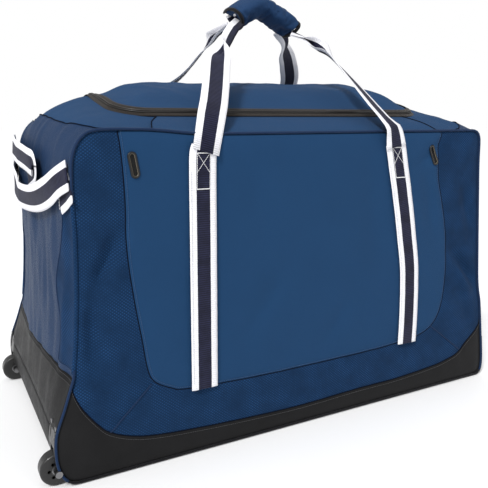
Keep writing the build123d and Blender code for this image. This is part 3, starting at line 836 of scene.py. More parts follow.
def satin_edge():
    """The end cloth's top edge, from the front corner to the back, as (distance, y)."""
    half = [(0.020, -EDGE_Y), (0.036, -0.236), (0.054, -0.218), (0.069, -0.180), (0.075, -0.140),
            (GUSSET_EDGE, -0.100), (GUSSET_EDGE, 0.0)]
    whole = half + [(t, -y) for t, y in half[-2::-1]]
    return curve(whole, 90)


ZIP_LINE = rounded([(-ZIP_X, ZIP_Y), (-ZIP_X, -ZIP_Y), (ZIP_X, -ZIP_Y), (ZIP_X, ZIP_Y)],
                   [ZIP_CORNER, ZIP_CORNER], 18)


def offset_line(line, distance):
    ahead = np.gradient(line, axis=0)
    ahead /= np.linalg.norm(ahead, axis=1)[:, None]
    return line + np.column_stack([ahead[:, 1], -ahead[:, 0]]) * distance


ZIP_FINE = evenly(ZIP_LINE, 420)
ZIP_OUT = offset_line(ZIP_FINE, 0.004)           # away from the flap
ZIP_IN = offset_line(ZIP_FINE, -0.004)


def top_height(spots, puff=0.003):
    """Height of the strips between the zip and the walls at (x, y)."""
    x, y = spots[:, 0], spots[:, 1]
    edge = seam_height(x)
    across = np.clip((np.abs(y) - ZIP_Y) / (EDGE_Y - ZIP_Y), 0, 1)
    strip = RIM + (edge - RIM) * across + puff * np.sin(math.pi * across)
    inner = rim_height(np.minimum(np.abs(y), ZIP_Y))
    return np.where(np.abs(y) > ZIP_Y, strip, inner)


def to_band(side, spots):
    """Points of the strips as band places: (x, y) becomes (distance outward from the zip, y)."""
    return np.column_stack([side * spots[:, 0] - ZIP_X, spots[:, 1]])


for SIDE, END in ((-1, "wheel_end"), (1, "tow_end")):
    edge = satin_edge()
    foot = distance_along(SIDE, COVER_TOP[SIDE])
    down = np.linspace(0, 1, 70)[1:]
    back = np.column_stack([edge[-1, 0] + (foot - edge[-1, 0]) * down, np.full(69, EDGE_Y)])
    floor_y = np.linspace(EDGE_Y, -EDGE_Y, 60)[1:]
    bottom = np.column_stack([np.full(59, foot), floor_y])
    front = back[:-1][::-1] * [1, -1]
    outline = np.vstack([edge, back, bottom, front])
    spots, faces = fill(outline, 0.0075)
    piece = new_mesh(f"{END}_satin_wall", band_points(SIDE, spots), faces, spots, [SATIN, LINING])
    face_outward(piece, from_middle)
    thicken(piece, CLOTH)
    settle(piece, "bag", [f"{END}_panel"])

    nearby = ZIP_OUT[(SIDE * ZIP_OUT[:, 0] > 0.262) & (ZIP_OUT[:, 1] < ZIP_Y - 0.001)]
    zip_side = to_band(SIDE, nearby)
    if SIDE > 0:
        zip_side = zip_side[::-1]
    zip_side = np.vstack([[(0.004, 0.1745), (-0.004, 0.1745), (-0.050, 0.1745)][::-1], zip_side])
    front_side = curve([tuple(zip_side[-1]), (-0.055, -0.190), (-0.040, -0.215), (-0.032, -0.240),
                        (-0.0305, -EDGE_Y)], 18)[1:]
    back_side = front_side[::-1] * [1, -1]
    back_side = back_side[np.abs(back_side[:, 1]) > 0.176]
    seam_run = np.column_stack([np.linspace(-0.0305, 0.020, 14)[1:], np.full(13, -EDGE_Y)])
    outline = np.vstack([zip_side, front_side, seam_run, edge[1:], seam_run[::-1][1:] * [1, -1], back_side])
    spots, faces = fill(outline, 0.0075)
    piece = new_mesh(f"{END}_top_strip", band_points(SIDE, spots, 0.0018) + [0, 0, 0.0003], faces, spots,
                     [TOP_CLOTH, LINING])
    face_outward(piece, lambda centre: (0, 0, 1))
    thicken(piece, CLOTH)
    settle(piece, "bag", [f"{END}_top_gusset"])

for SIDE, END in ((-1, "front"), (1, "back")):
    ends = {}
    for end in (-1, 1):
        shape = curve([(ZIP_X - 0.064, -0.174), (ZIP_X - 0.055, -0.190), (ZIP_X - 0.040, -0.215),
                       (ZIP_X - 0.032, -0.240), (ZIP_X - 0.0305, -EDGE_Y)], 18)
        ends[end] = shape * [end, 1]
    inner = np.column_stack([np.linspace(0.262, -0.262, 70), np.full(70, -0.174)])[1:-1]
    outer = np.column_stack([np.linspace(-ZIP_X + 0.0305, ZIP_X - 0.0305, 80), np.full(80, -EDGE_Y)])[1:-1]
    outline = np.vstack([inner, ends[-1], outer, ends[1][::-1]])
    spots, faces = fill(outline, 0.0075)
    height = top_height(spots)
    at = np.column_stack([spots, np.zeros(len(spots))])
    ripple = 0.0016 * noise_at(at, (0.10, 0.03, 1), 5.0 + SIDE)
    away = smooth(0.002, 0.02, distance_to(spots, outline))
    points = np.column_stack([spots[:, 0], -SIDE * spots[:, 1], height + ripple * away])
    piece = new_mesh(f"{END}_top_strip", points, faces, spots, [TOP_CLOTH, LINING])
    face_outward(piece, lambda centre: (0, 0, 1))
    thicken(piece, CLOTH)
    settle(piece, "bag", [f"{END}_top_gusset"])


# ---------------------------------------------------------------- flap and zip
def tilt_at(y):
    """How steeply the zip lies, as a share: flat near the hinge, tipped up round the front."""
    return smooth(0.03, -0.09, y)


def lid_height(spots):
    x, y = spots[:, 0], spots[:, 1]
    base = rim_height(np.minimum(np.abs(y), ZIP_Y))
    crown = (LID_CROWN - RIM_CROWN - 0.009) + 0.012 * (x + ZIP_X) / (2 * ZIP_X)
    away = distance_to(spots, ZIP_FINE, closed=True)
    lip = 0.0085 * tilt_at(y) * smooth(0.0, 0.010, away) * np.exp(-away / 0.10)
    swell = 1 - (1 - smooth(0, 0.125, away)) ** 2.2
    at = np.column_stack([spots, np.zeros(len(spots))])
    slanted = np.column_stack([at[:, 0] + 0.8 * at[:, 1], at[:, 1] - 0.8 * at[:, 0], at[:, 2]])
    ripple = 0.0026 * noise_at(at, (0.16, 0.09, 1), 8.0) + 0.0017 * noise_at(slanted, (0.030, 0.15, 1), 6.0)
    return base + lip + crown * swell + ripple * smooth(0.004, 0.04, away)


back_edge = np.column_stack([np.linspace(ZIP_IN[-1, 0], ZIP_IN[0, 0], 80), np.full(80, ZIP_Y - 0.002)])
inner_line = ZIP_IN[(ZIP_IN[:, 1] < ZIP_Y - 0.003)]
lid_outline = np.vstack([inner_line, back_edge])
spots, faces = fill(lid_outline, 0.0085)
points = np.column_stack([spots, lid_height(spots)])
lid = new_mesh("flap", points, faces, spots, [TOP_CLOTH, LINING])
face_outward(lid, lambda centre: (0, 0, 1))
thicken(lid, CLOTH * 1.3)
settle(lid, "lid", ["lid_panel"])

hinge_x = np.linspace(-ZIP_X + 0.012, ZIP_X - 0.012, 60)
hinge_fold = np.column_stack([hinge_x, np.full(60, ZIP_Y + 0.0065), np.full(60, RIM - 0.0006)])
settle(tube("hinge_fold_piping", hinge_fold, 0.0020, PIPING), "bag", [])


def zip_height(line):
    return rim_height(np.minimum(np.abs(line[:, 1]), ZIP_Y)) + 0.0028


def zip_ribbon(name, near, far, body, node):
    """One half of the tape, from near to far of the seam line, tipped up with the flap's edge."""
    middle = offset_line(ZIP_FINE, (near + far) / 2)[6:-6]
    tilt = tilt_at(middle[:, 1])
    climb = -0.75 * (near + far) / 2 * tilt
    centres = np.column_stack([middle, zip_height(middle) - 0.0006 + 0.003 * tilt + climb])
    ahead = np.gradient(middle, axis=0)
    ahead /= np.linalg.norm(ahead, axis=1)[:, None]
    sides = np.column_stack([ahead[:, 1], -ahead[:, 0], -0.75 * tilt])
    points, faces, uv = ribbon_parts(centres, sides, abs(far - near) * (1 + 0.25 * tilt), 0.0013, 7)
    piece = new_mesh(name, points, faces, np.asarray(uv) * [abs(far - near), 1], [ZIP_TAPE])
    face_outward(piece, lambda centre: (0, 0, 0.01))
    return settle(piece, body, [node])


zip_ribbon("outer_zip_tape", 0.0006, 0.0086, "bag", "bag_zip_tape")
zip_ribbon("flap_zip_tape", -0.0086, -0.0006, "lid", "lid_zip_tape")
for NAME, SHIFT, BODY, NODE in (("outer_zip_teeth", 0.0013, "bag", "bag_zip_coil"),
                                ("flap_zip_teeth", -0.0013, "lid", "lid_zip_coil")):
    line = offset_line(ZIP_FINE, SHIFT)[8:-8]
    count = int(length_of(line) / 0.0016)
    lifted = zip_height(line) + 0.0006 + (0.003 - 0.75 * SHIFT) * tilt_at(line[:, 1])
    fine = evenly(np.column_stack([line, lifted]), count)
    phase = 0 if SHIFT > 0 else 1
    radii = np.where((np.arange(count) + phase) % 2 == 0, 0.0016, 0.0011)
    piece = tube(NAME, fine, radii, ZIP_COIL, sides=6)
    settle(piece, BODY, [NODE])


# ---------------------------------------------------------------- seams, overlay, piping
def on_face(line, side, lift):
    return face_points(np.asarray(line), side, lift)


def thread_row(name, line, normal, material, slot, body="bag", **options):
    normals = np.broadcast_to(np.array(normal, float), (len(line), 3))
    points, faces, uv = stitch_parts(np.asarray(line), normals, **options)
    return settle(new_mesh(name, points, faces, uv, [material]), body, [])


overlay_outline = np.vstack([OVERLAY_EDGE, np.column_stack([
    np.linspace(0.310, -0.350, 90)[1:-1], seam_height(np.linspace(0.310, -0.350, 90)[1:-1]) - 0.0022])])
spots, faces = fill(overlay_outline, 0.008)
tucked = 0.0017 * smooth(0.0, 0.0028, distance_to(spots, overlay_outline)) - 0.0003
points = face_points(spots, -1)
points[:, 1] -= tucked
overlay = new_mesh("front_overlay", points, faces, spots, [OVERLAY_CLOTH, LINING])
face_outward(overlay, outward_y(-1))
thicken(overlay, 0.0012)
settle(overlay, "bag", ["front_overlay_panel"])

# A dark tube in the gap along the overlay's edge: painted shade for the groove of the seam.
gap_shade_line = on_face(offset_line(OVERLAY_EDGE, -0.0006), -1, 0.0002)
settle(tube("overlay_seam_painted_shade", gap_shade_line, 0.0010, SEAM_PAINTED_SHADE), "bag", [])
inset = on_face(offset_line(OVERLAY_EDGE, 0.0045), -1, 0.0018)
inside_row = inset if inside(inset[[40], :][:, [0, 2]], overlay_outline)[0] else on_face(
    offset_line(OVERLAY_EDGE, -0.0045), -1, 0.0018)
thread_row("overlay_stitching", inside_row, (0, -1, 0), THREAD_BLUE, "navy_cloth",
           pitch=0.0040, length=0.0026)

for SIDE, END in ((-1, "front"), (1, "back")):
    for name, start, finish in (("wheel_end", (-0.308, 0.142), (-0.377, 0.0755)),
                                ("tow_end", (0.296, 0.140), (0.3825, 0.0735))):
        run = on_face(evenly(np.array([start, finish]), 40), SIDE, 0.0006)
        settle(tube(f"{END}_{name}_corner_seam", run, 0.0011, PIPING), "bag", [])
    run = on_face(BASE_CURVE, SIDE, 0.0004)
    # A dark tube along the base cover's seam: painted shade in the seam's groove.
    settle(tube(f"{END}_cover_seam_painted_shade", run, 0.0007, SEAM_PAINTED_SHADE), "bag", [])
    below = on_face(BASE_CURVE - [0, 0.0055], SIDE, 0.0006)
    thread_row(f"{END}_cover_stitching", below, (0, SIDE, 0), THREAD_GREY, "charcoal_tarpaulin")

for SIDE, END in ((-1, "wheel_end"), (1, "tow_end")):
    for row, drop in enumerate((0.004, 0.011)):
        y = np.linspace(-EDGE_Y + 0.004, EDGE_Y - 0.004, 90)
        t = distance_along(SIDE, COVER_TOP[SIDE]) + drop
        line = band_points(SIDE, np.column_stack([np.full(90, t), y]), 0.0022)
        line[:, 0] += SIDE * 0.0006
        thread_row(f"{END}_cover_row_{row}", line, (SIDE, 0, 0), THREAD_GREY, "charcoal_tarpaulin")
    edge = satin_edge()
    line = band_points(SIDE, edge) + [0, 0, 0.0008]
    # A dark tube along the end cloth's top seam: painted shade in the seam's groove.
    settle(tube(f"{END}_top_seam_painted_shade", line, 0.0008, SEAM_PAINTED_SHADE), "bag", [])
    for part in (-1, 1):
        y = part * 0.236
        t = np.linspace(0.09, distance_along(SIDE, COVER_TOP[SIDE]) - 0.008, 80)
        line = band_points(SIDE, np.column_stack([t, np.full(80, y)]))
        line[:, 0] += SIDE * 0.0007
        thread_row(f"{END}_edge_row_{'front' if part < 0 else 'back'}", line, (SIDE, 0, 0), THREAD_BLUE,
                   "navy_satin")

RETURN_LOW, RETURN_HIGH = 0.183, 0.440       # where the textured cloth wraps round the wheel-end corners

for SIDE, END in ((-1, "front"), (1, "back")):
    rows = np.column_stack([FACE[:, 0], np.full(len(FACE), SIDE * (EDGE_Y + 0.0018)), FACE[:, 1]])
    rows[:, 2] = np.maximum(rows[:, 2], 0.0034)
    wrapped = (FACE[:, 0] < -0.38) & (FACE[:, 1] > RETURN_LOW - 0.004) & (FACE[:, 1] < RETURN_HIGH + 0.004)
    first = int(np.argmax(wrapped))
    turned = np.roll(np.arange(len(FACE)), -first)
    soft = rows[turned[:int(wrapped.sum())]]
    corded = rows[turned[int(wrapped.sum()) - 2:]]
    low = np.flatnonzero(corded[:, 2] < 0.014)
    for name, run, radius, cloth, slot in (("", corded[:low[0] + 1], 0.0022, PIPING, "piping"),
                                           ("_low", corded[low], 0.0020, BINDING, "binding_tape"),
                                           ("_far", corded[low[-1]:], 0.0022, PIPING, "piping")):
        settle(tube(f"{END}_corded_seam{name}", run, radius, cloth), "bag", [f"{END}_piping"])
    inward = [0, SIDE * 0.0022, 0]
    settle(tube(f"{END}_soft_corner", soft - inward, 0.0036, MESH_CLOTH), "bag", [])
    start, end = distance_along(-1, RETURN_HIGH), distance_along(-1, RETURN_LOW)
    t = np.linspace(start, end, 60)
    inner = 0.176 + 0.010 * np.sin(9 * np.linspace(0, 1, 60)) + 0.030 * np.linspace(1, 0, 60) ** 3
    across = np.linspace(0, 1, 12)
    spots = np.array([(ti, SIDE * (EDGE_Y + (wi - EDGE_Y) * c)) for ti, wi in zip(t, inner) for c in across])
    points = band_points(-1, spots)
    points[:, 0] -= 0.0012
    wrap = new_mesh(f"{END}_wall_return", points, grid_faces(60, 12), spots, [MESH_CLOTH, LINING])
    face_outward(wrap, lambda centre: (-1, 0, 0))
    thicken(wrap, 0.0010)
    settle(wrap, "bag", [])
    edge_line = points.reshape(60, 12, 3)[:, -1]
    settle(tube(f"{END}_return_seam", edge_line, 0.0010, PIPING), "bag", [])
    for name, end in (("wheel_end", -1), ("tow_end", 1)):
        shape = curve([(0.262, 0.174), (0.271, 0.190), (0.286, 0.215), (0.294, 0.240), (0.2955, EDGE_Y)], 24)
        line = shape * [end, SIDE]
        line = np.column_stack([line, top_height(line) + 0.0008])
        # A dark tube along each strip seam: painted shade in the seam's groove.
        settle(tube(f"{END}_{name}_strip_seam", line, 0.0008, SEAM_PAINTED_SHADE), "bag", [])


# ---------------------------------------------------------------- vents
def slot_line(radius, half_length, lean, centre, count=48):
    turn = np.linspace(0, 2 * math.pi, count, endpoint=False)
    x, z = radius * np.cos(turn), radius * np.sin(turn)
    z = z + np.sign(np.sin(turn)) * half_length
    cos, sin = math.cos(lean), math.sin(lean)
    return np.column_stack([centre[0] + x * cos + z * sin, centre[1] + z * cos - x * sin])


for NAME, CENTRE, TILT in (("wheel_end_vent", (-0.328, 0.494), -0.17),
                           ("tow_end_vent", (0.283, 0.492), -0.30)):
    # The lip is a thin pale tube on the frame's inner edge: a painted highlight on the black plastic rim.
    for part, radius, reach, thick, material, slot in (
            ("frame", 0.0056, 0.0132, 0.0019, FRAME_PLASTIC, "black_plastic"),
            ("lip", 0.0042, 0.0132, 0.0007, VENT_RIM_HIGHLIGHT, "black_plastic")):
        line = slot_line(radius, reach, TILT, CENTRE)
        ring = on_face(line, -1, 0.0022 if part == "frame" else 0.0027)
        piece = settle(tube(f"{NAME}_{part}", ring, thick, material, closed=True), "bag", [])
        if part == "frame":
            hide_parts("vent_frames")
    spots, faces = fill(slot_line(0.0041, 0.0132, TILT, CENTRE), 0.0018, rings=(0.0006,))
    piece = new_mesh(f"{NAME}_screen", on_face(spots, -1, 0.0020), faces, spots, [SCREEN])
    face_outward(piece, outward_y(-1))
    settle(piece, "bag", ["vent_screens"])


# ---------------------------------------------------------------- webbing
STRAP_Y = -(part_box("front_left_sewn_strap")[0][1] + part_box("front_left_sewn_strap")[1][1]) / 2
LEFT_SEWN = [(-0.2165, 0.1165), (-0.2165, 0.25), (-0.2165, 0.42), (-0.2160, 0.500), (-0.2125, 0.517)]
RIGHT_SEWN = [(0.2290, 0.1165), (0.2300, 0.19), (0.2270, 0.27), (0.2160, 0.34), (0.2030, 0.41),
              (0.1900, 0.47), (0.1800, 0.517)]


def webbing(name, path, sides, body, nodes, widths=WEBBING):
    points, faces, uv = ribbon_parts(path, sides, widths, WEBBING_THICKNESS, 13)
    piece = new_mesh(name, points, faces, uv, [WEB])
    check = piece.data.polygons[len(piece.data.polygons) // 2]
    away = np.linalg.norm(np.asarray(path) + [MID_X, 0, 0] - check.center, axis=1)
    near = np.asarray(path)[np.argmin(away)]
    if check.normal.dot(check.center - Vector(near + np.array([MID_X, 0, 0]))) < 0:
        piece.data.flip_normals()
    return settle(piece, body, nodes)


def sewn(name, plan, side, node):
    path = curve(plan, 130)
    at = np.column_stack([path[:, 0], np.zeros(len(path)), path[:, 1]])
    ripple = 0.0004 * noise_at(at, 0.03, 6.6)
    centres = np.column_stack([path[:, 0], side * (STRAP_Y + ripple - 0.0008), path[:, 1]])
    ahead = np.gradient(path, axis=0)
    sides = np.column_stack([ahead[:, 1], np.zeros(len(path)), -ahead[:, 0]])
    webbing(name, centres, sides, "bag", [node])
    for row, edge in (("left", -1), ("right", 1)):
        normal = sides / np.linalg.norm(sides, axis=1)[:, None]
        line = centres + normal * edge * (WEBBING / 2 - 0.003) + [0, side * 0.0016, 0]
        thread_row(f"{name}_{row}_stitching", line[4:-12], (0, side, 0), THREAD_WHITE, "webbing")
    return path


def box_stitch(name, path, side, low, high):
    """A box with a cross, sewn through both layers at the top of a strap, with a bar under it."""
    def place(height, across):
        x = np.interp(height, path[:, 1], path[:, 0])
        return (x + across, side * (STRAP_Y + 0.0012), height)
    half = WEBBING / 4 - 0.0006
    runs = [[place(high, -half), place(high, half)], [place(low, -half), place(low, half)],
            [place(high, -half), place(low + 0.026, half)], [place(high, half), place(low + 0.026, -half)],
            [place(high, -half), place(low, -half)], [place(high, half), place(low, half)]]
    for n, (start, end) in enumerate(runs):
        line = evenly(np.array([start, end]), 20)
        radius = 0.0009 if n < 2 else 0.0005
        if n < 2:
            settle(tube(f"{name}_bar_{n}", line, radius, THREAD_WHITE), "bag", [])
        else:
            thread_row(f"{name}_row_{n}", line, (0, side, 0), THREAD_WHITE, "webbing", pitch=0.0034,
                       length=0.0026, radius=0.0005)


for SIDE, END in ((-1, "front"), (1, "back")):
    for name, plan in (("left", LEFT_SEWN), ("right", RIGHT_SEWN)):
        path = sewn(f"{END}_{name}_strap", plan, SIDE, f"{END}_{name}_sewn_strap")
        box_stitch(f"{END}_{name}_box", path, SIDE, 0.4525, 0.5095)

RISE = np.array([0, PIVOT_Y - 0.008, 0.218])
SLOPE_LENGTH = np.linalg.norm(RISE)
SLOPE = RISE / SLOPE_LENGTH


def loop_leg(name, side, stations):
    """Webbing from the box stitch over the seam and up the leaning plane into the grip.

    stations: x, s, off the plane, turn about its own line (degrees), fold in two (degrees).
    """
    rows = curve(stations, 110)
    ahead_xs = np.gradient(rows[:, :2], axis=0)
    ahead_xs /= np.linalg.norm(ahead_xs, axis=1)[:, None]
    columns = 13
    across = np.linspace(-0.5, 0.5, columns) * WEBBING
    points, uv = [], []
    travel = 0.0
    last = None
    for (x, s, off, turn, fold), (dx, ds) in zip(rows, ahead_xs):
        lean = float(smooth(-0.022, 0.030, s))
        along = (1 - lean) * np.array([0, 0, 1.0]) + lean * SLOPE
        along /= np.linalg.norm(along)
        up = np.cross([1.0, 0, 0], along)
        below = min(s, 0.0)
        y = -PIVOT_Y + SLOPE[1] * max(s, 0.0) + (-SLOPE[2] * off)
        z = PIVOT_Z + SLOPE[2] * max(s, 0.0) + below + SLOPE[1] * off
        centre = np.array([x, y, z])
        sideways = ds * np.array([1.0, 0, 0]) - dx * along
        c, n = math.cos(math.radians(turn)), math.sin(math.radians(turn))
        first, second = sideways * c + up * n, -sideways * n + up * c
        if last is not None:
            travel += float(np.linalg.norm(centre - last))
        last = centre
        bend = math.radians(fold)
        shape = []
        for a in across:
            if a <= 0:
                shape.append((a, 0.0))
            else:
                shape.append((a * math.cos(bend), a * math.sin(bend)))
        shape = np.array(shape) - np.mean(shape, axis=0)
        tangent = np.gradient(shape, axis=0)
        tangent /= np.linalg.norm(tangent, axis=1)[:, None]
        normal = np.column_stack([-tangent[:, 1], tangent[:, 0]])
        edge = np.clip(1 - (2 * np.abs(np.linspace(-0.5, 0.5, columns))) ** 8, 0.12, 1) * 0.0013
        upper, lower = shape + normal * edge[:, None], shape - normal * edge[:, None]
        for ring_point, u in zip(np.vstack([upper, lower[::-1]]),
                                 np.concatenate([across, across[::-1]]) / WEBBING + 0.5):
            points.append(centre + first * ring_point[0] + second * ring_point[1])
            uv.append((u, travel))
    count = 2 * columns
    faces = grid_faces(len(rows), count, closed=True)
    faces += [tuple(range(count))[::-1], tuple(range((len(rows) - 1) * count, len(rows) * count))]
    points = np.array(points)
    if side > 0:
        points[:, 1] *= -1
        faces = [face[::-1] for face in faces]
    piece = new_mesh(name, points, faces, uv, [WEB])
    volume = sum(f.center.dot(f.normal) * f.area for f in piece.data.polygons)
    if volume < 0:
        piece.data.flip_normals()
    return piece


LEGS = {
    "front_left": (-1, [(-0.2120, -0.038, 0.0006, 0, 0), (-0.2090, -0.015, 0.0012, 0, 0),
                        (-0.2040, 0.006, 0.0010, 0, 0), (-0.1840, 0.044, 0.002, 0, 2),
                        (-0.1555, 0.109, 0.003, 4, 4), (-0.1270, 0.178, 0.004, 6, 14),
                        (-0.1060, 0.214, 0.003, 4, 110), (-0.0820, 0.250, 0.002, 0, 168),
                        (-0.0560, 0.286, 0.001, 0, 174), (-0.0300, 0.312, 0.001, 0, 176)]),
    "front_right": (-1, [(0.1790, -0.038, 0.0006, 0, 0), (0.1740, -0.015, 0.0012, -8, 0),
                         (0.1675, 0.006, 0.0012, -16, 0), (0.1590, 0.044, 0.002, -18, 2),
                         (0.1515, 0.109, 0.002, -24, 3), (0.1455, 0.165, 0.001, -33, 6),
                         (0.1370, 0.215, 0.0, -41, 16), (0.1270, 0.247, -0.002, -30, 90),
                         (0.1120, 0.275, -0.005, -12, 160), (0.0880, 0.296, -0.007, 0, 174)]),
    "back_left": (1, [(-0.2120, -0.038, 0.0006, 0, 0), (-0.2100, -0.015, 0.0012, 0, 0),
                      (-0.2000, 0.008, 0.0010, 2, 0), (-0.1650, 0.060, 0.002, 12, 2),
                      (-0.1000, 0.140, 0.003, 30, 4), (-0.0760, 0.188, 0.003, 38, 12),
                      (-0.0620, 0.240, 0.002, 44, 12), (-0.0500, 0.282, 0.002, 30, 140),
                      (-0.0260, 0.308, 0.001, 0, 172)]),
    "back_right": (1, [(0.1845, -0.038, 0.0006, 0, 0), (0.1900, -0.015, 0.0012, 0, 0),
                       (0.2000, 0.010, 0.0012, -2, 0), (0.2060, 0.070, 0.002, -4, 2),
                       (0.1950, 0.150, 0.003, -2, 4), (0.1620, 0.212, 0.003, 14, 8),
                       (0.1340, 0.250, 0.002, 30, 30), (0.1160, 0.280, 0.002, 30, 130),
                       (0.0920, 0.301, 0.001, 0, 174)]),
}
for NAME, (SIDE, STATIONS) in LEGS.items():
    leg = loop_leg(f"{NAME}_loop_leg", SIDE, STATIONS)
    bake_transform(leg)
    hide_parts("front_carry_loop" if SIDE < 0 else "back_carry_loop")

for SIDE, END in ((-1, "front"), (1, "back")):
    count = 50
    bar = curve([(-0.034, 0.7600), (-0.012, 0.7730), (0.010, 0.7835), (0.026, 0.7845), (0.045, 0.7790),
                 (0.075, 0.7640), (0.104, 0.7490)], count)
    centres = np.column_stack([bar[:, 0], np.full(count, SIDE * 0.0125), bar[:, 1]])
    for layer in (0, 1):
        sides = np.broadcast_to(np.array([0, 0.25 * SIDE, 1.0]), (count, 3))
        webbing(f"{END}_folded_layer_{layer}", centres + [0, SIDE * 0.0034 * layer, 0], sides,
                "front_handle" if SIDE < 0 else "back_handle", [], widths=0.019)


# ---------------------------------------------------------------- padded grip, open towards the back
GRIP_PATH = curve([(-0.032, 0.7605), (-0.012, 0.7730), (0.010, 0.7835), (0.026, 0.7845), (0.045, 0.7790),
                   (0.075, 0.7640), (0.102, 0.7500)], 101)
GRIP_AHEAD = np.gradient(GRIP_PATH, axis=0)
GRIP_AHEAD /= np.linalg.norm(GRIP_AHEAD, axis=1)[:, None]


def grip_frame(u):
    """Middle of the grip from one end (0) to the other (1), and which way is up across it."""
    at = u * 100
    row = int(np.clip(round(at), 0, 100))
    x, z = (float(np.interp(at, range(101), GRIP_PATH[:, k])) for k in (0, 1))
    beyond = at - np.clip(at, 0, 100)
    along = GRIP_AHEAD[row]
    x, z = x + along[0] * beyond * 0.0014, z + along[1] * beyond * 0.0014
    return np.array([x, -0.001, z]), np.array([-along[1], 0, along[0]])


def grip_height(u):
    """Half the sleeve's height: widest at its mouth, pinched where it bends."""
    return float(np.interp(u, [0, 0.25, 0.47, 0.75, 1], [0.0205, 0.0165, 0.0110, 0.0140, 0.0150]))


def grip_parts(u_low, u_high, rows, out, puff):
    points, uv = [], []
    columns = 30
    turn = np.linspace(math.radians(52), math.radians(308), columns)
    share = np.linspace(0, 1, columns)
    lip = np.minimum(1, np.minimum(share, 1 - share) / 0.07) ** 0.5
    for u in np.linspace(u_low, u_high, rows):
        centre, up = grip_frame(u)
        shape = np.column_stack([0.0330 * np.cos(turn), grip_height(u) * np.sin(turn)])
        normal = np.column_stack([np.cos(turn), np.sin(turn)])
        swell = out + puff * math.sin(math.pi * min(max((u - u_low) / (u_high - u_low), 0), 1)) ** 0.4 * lip
        outer = shape + normal * swell[:, None]
        inner = shape - normal * (out * 0.35 * lip)[:, None]
        for n, (y, z) in enumerate(np.vstack([outer, inner[::-1]])):
            points.append(centre + np.array([0, y, 0]) + up * z)
            uv.append(((n if n < columns else 2 * columns - n) * 0.0045, u * 0.16))
    faces = grid_faces(rows, 2 * columns, closed=True)
    faces += [tuple(range(2 * columns))[::-1], tuple(range((rows - 1) * 2 * columns, rows * 2 * columns))]
    return points, faces, uv


points, faces, uv = grip_parts(0.0, 1.0, 46, 0.0022, 0.0035)
grip = new_mesh("grip_sleeve", points, faces, uv, [GRIP_CLOTH])
if sum(f.center.dot(f.normal) * f.area for f in grip.data.polygons) < 0:
    grip.data.flip_normals()


def fill_with_air(piece, pressure, frames):
    """Lets cloth simulation puff a closed shape and wrinkle it where it can't stretch."""
    before = np.array([v.co for v in piece.data.vertices])
    pinned = piece.vertex_groups.new(name="sewn")
    low, high = before[:, 0].min(), before[:, 0].max()
    for vertex in piece.data.vertices:
        from_end = min(vertex.co.x - low, high - vertex.co.x)
        weight = max(0.0, 1 - from_end / 0.012)
        if vertex.co.y > before[:, 1].max() - 0.008:
            weight = max(weight, 0.8)
        pinned.add([vertex.index], weight, "REPLACE")
    cloth = piece.modifiers.new("padding", "CLOTH")
    cloth.settings.quality = 6
    cloth.settings.mass = 0.15
    cloth.settings.tension_stiffness = 22
    cloth.settings.compression_stiffness = 22
    cloth.settings.bending_stiffness = 0.4
    cloth.settings.use_pressure = True
    cloth.settings.uniform_pressure_force = pressure
    cloth.settings.shrink_min = -0.06
    cloth.settings.vertex_group_mass = "sewn"
    cloth.settings.effector_weights.gravity = 0
    cloth.point_cache.frame_start, cloth.point_cache.frame_end = 1, frames
    scene = bpy.context.scene
    for frame_number in range(1, frames + 1):
        scene.frame_set(frame_number)
    apply_modifiers(piece)
    scene.frame_set(1)
    after = np.array([v.co for v in piece.data.vertices])
    moved = after - before
    far = np.linalg.norm(moved, axis=1)
    capped = moved * np.minimum(1, 0.0065 / np.maximum(far, 1e-9))[:, None]
    for vertex, place in zip(piece.data.vertices, before + capped):
        vertex.co = place


fill_with_air(grip, 4.0, 20)
smoother = grip.modifiers.new("smooth", "SUBSURF")
smoother.levels = smoother.render_levels = 1
apply_modifiers(grip)
settle(grip, "front_handle", ["grip_pad"])
for NAME, LOW_U, HIGH_U in (("wheel_end_binding", -0.022, 0.020), ("tow_end_binding", 0.980, 1.022)):
    points, faces, uv = grip_parts(LOW_U, HIGH_U, 8, 0.0030, 0.0014)
    piece = new_mesh(NAME, points, faces, uv, [BINDING])
    inner = Vector((MID_X + LOW_U, 0, 0.75))
    if sum((f.center - inner).dot(f.normal) * f.area for f in piece.data.polygons) < 0:
        piece.data.flip_normals()
    settle(piece, "front_handle", ["grip_binding"])
for NAME, TURN in (("upper", 1.25), ("lower", 5.03)):
    line = []
    for u in np.linspace(0.05, 0.95, 60):
        centre, up = grip_frame(u)
        sideways = np.array([0, 0.0385 * math.cos(TURN), 0])
        line.append(centre + sideways + up * (grip_height(u) + 0.005) * math.sin(TURN))
    thread_row(f"grip_{NAME}_stitching", np.array(line), (0, -1, 0), THREAD_BLUE, "grip_cloth", "front_handle")


# ---------------------------------------------------------------- end straps


def wall_surface(side, y, z):
    """How far out the end wall stands at a height."""
    _, outer, middle, low_top = PROFILES[side]
    rise = float(np.clip((rim_height(np.array(y)) - low_top) / (RIM_CROWN - low_top), 0, 1))
    near, far = (np.interp(-z, -line[WALL_PART, 1], line[WALL_PART, 0]) for line in (outer, middle))
    return near + (far - near) * rise + 0.005 * float(smooth(0, 0.045, EDGE_Y - abs(y)))


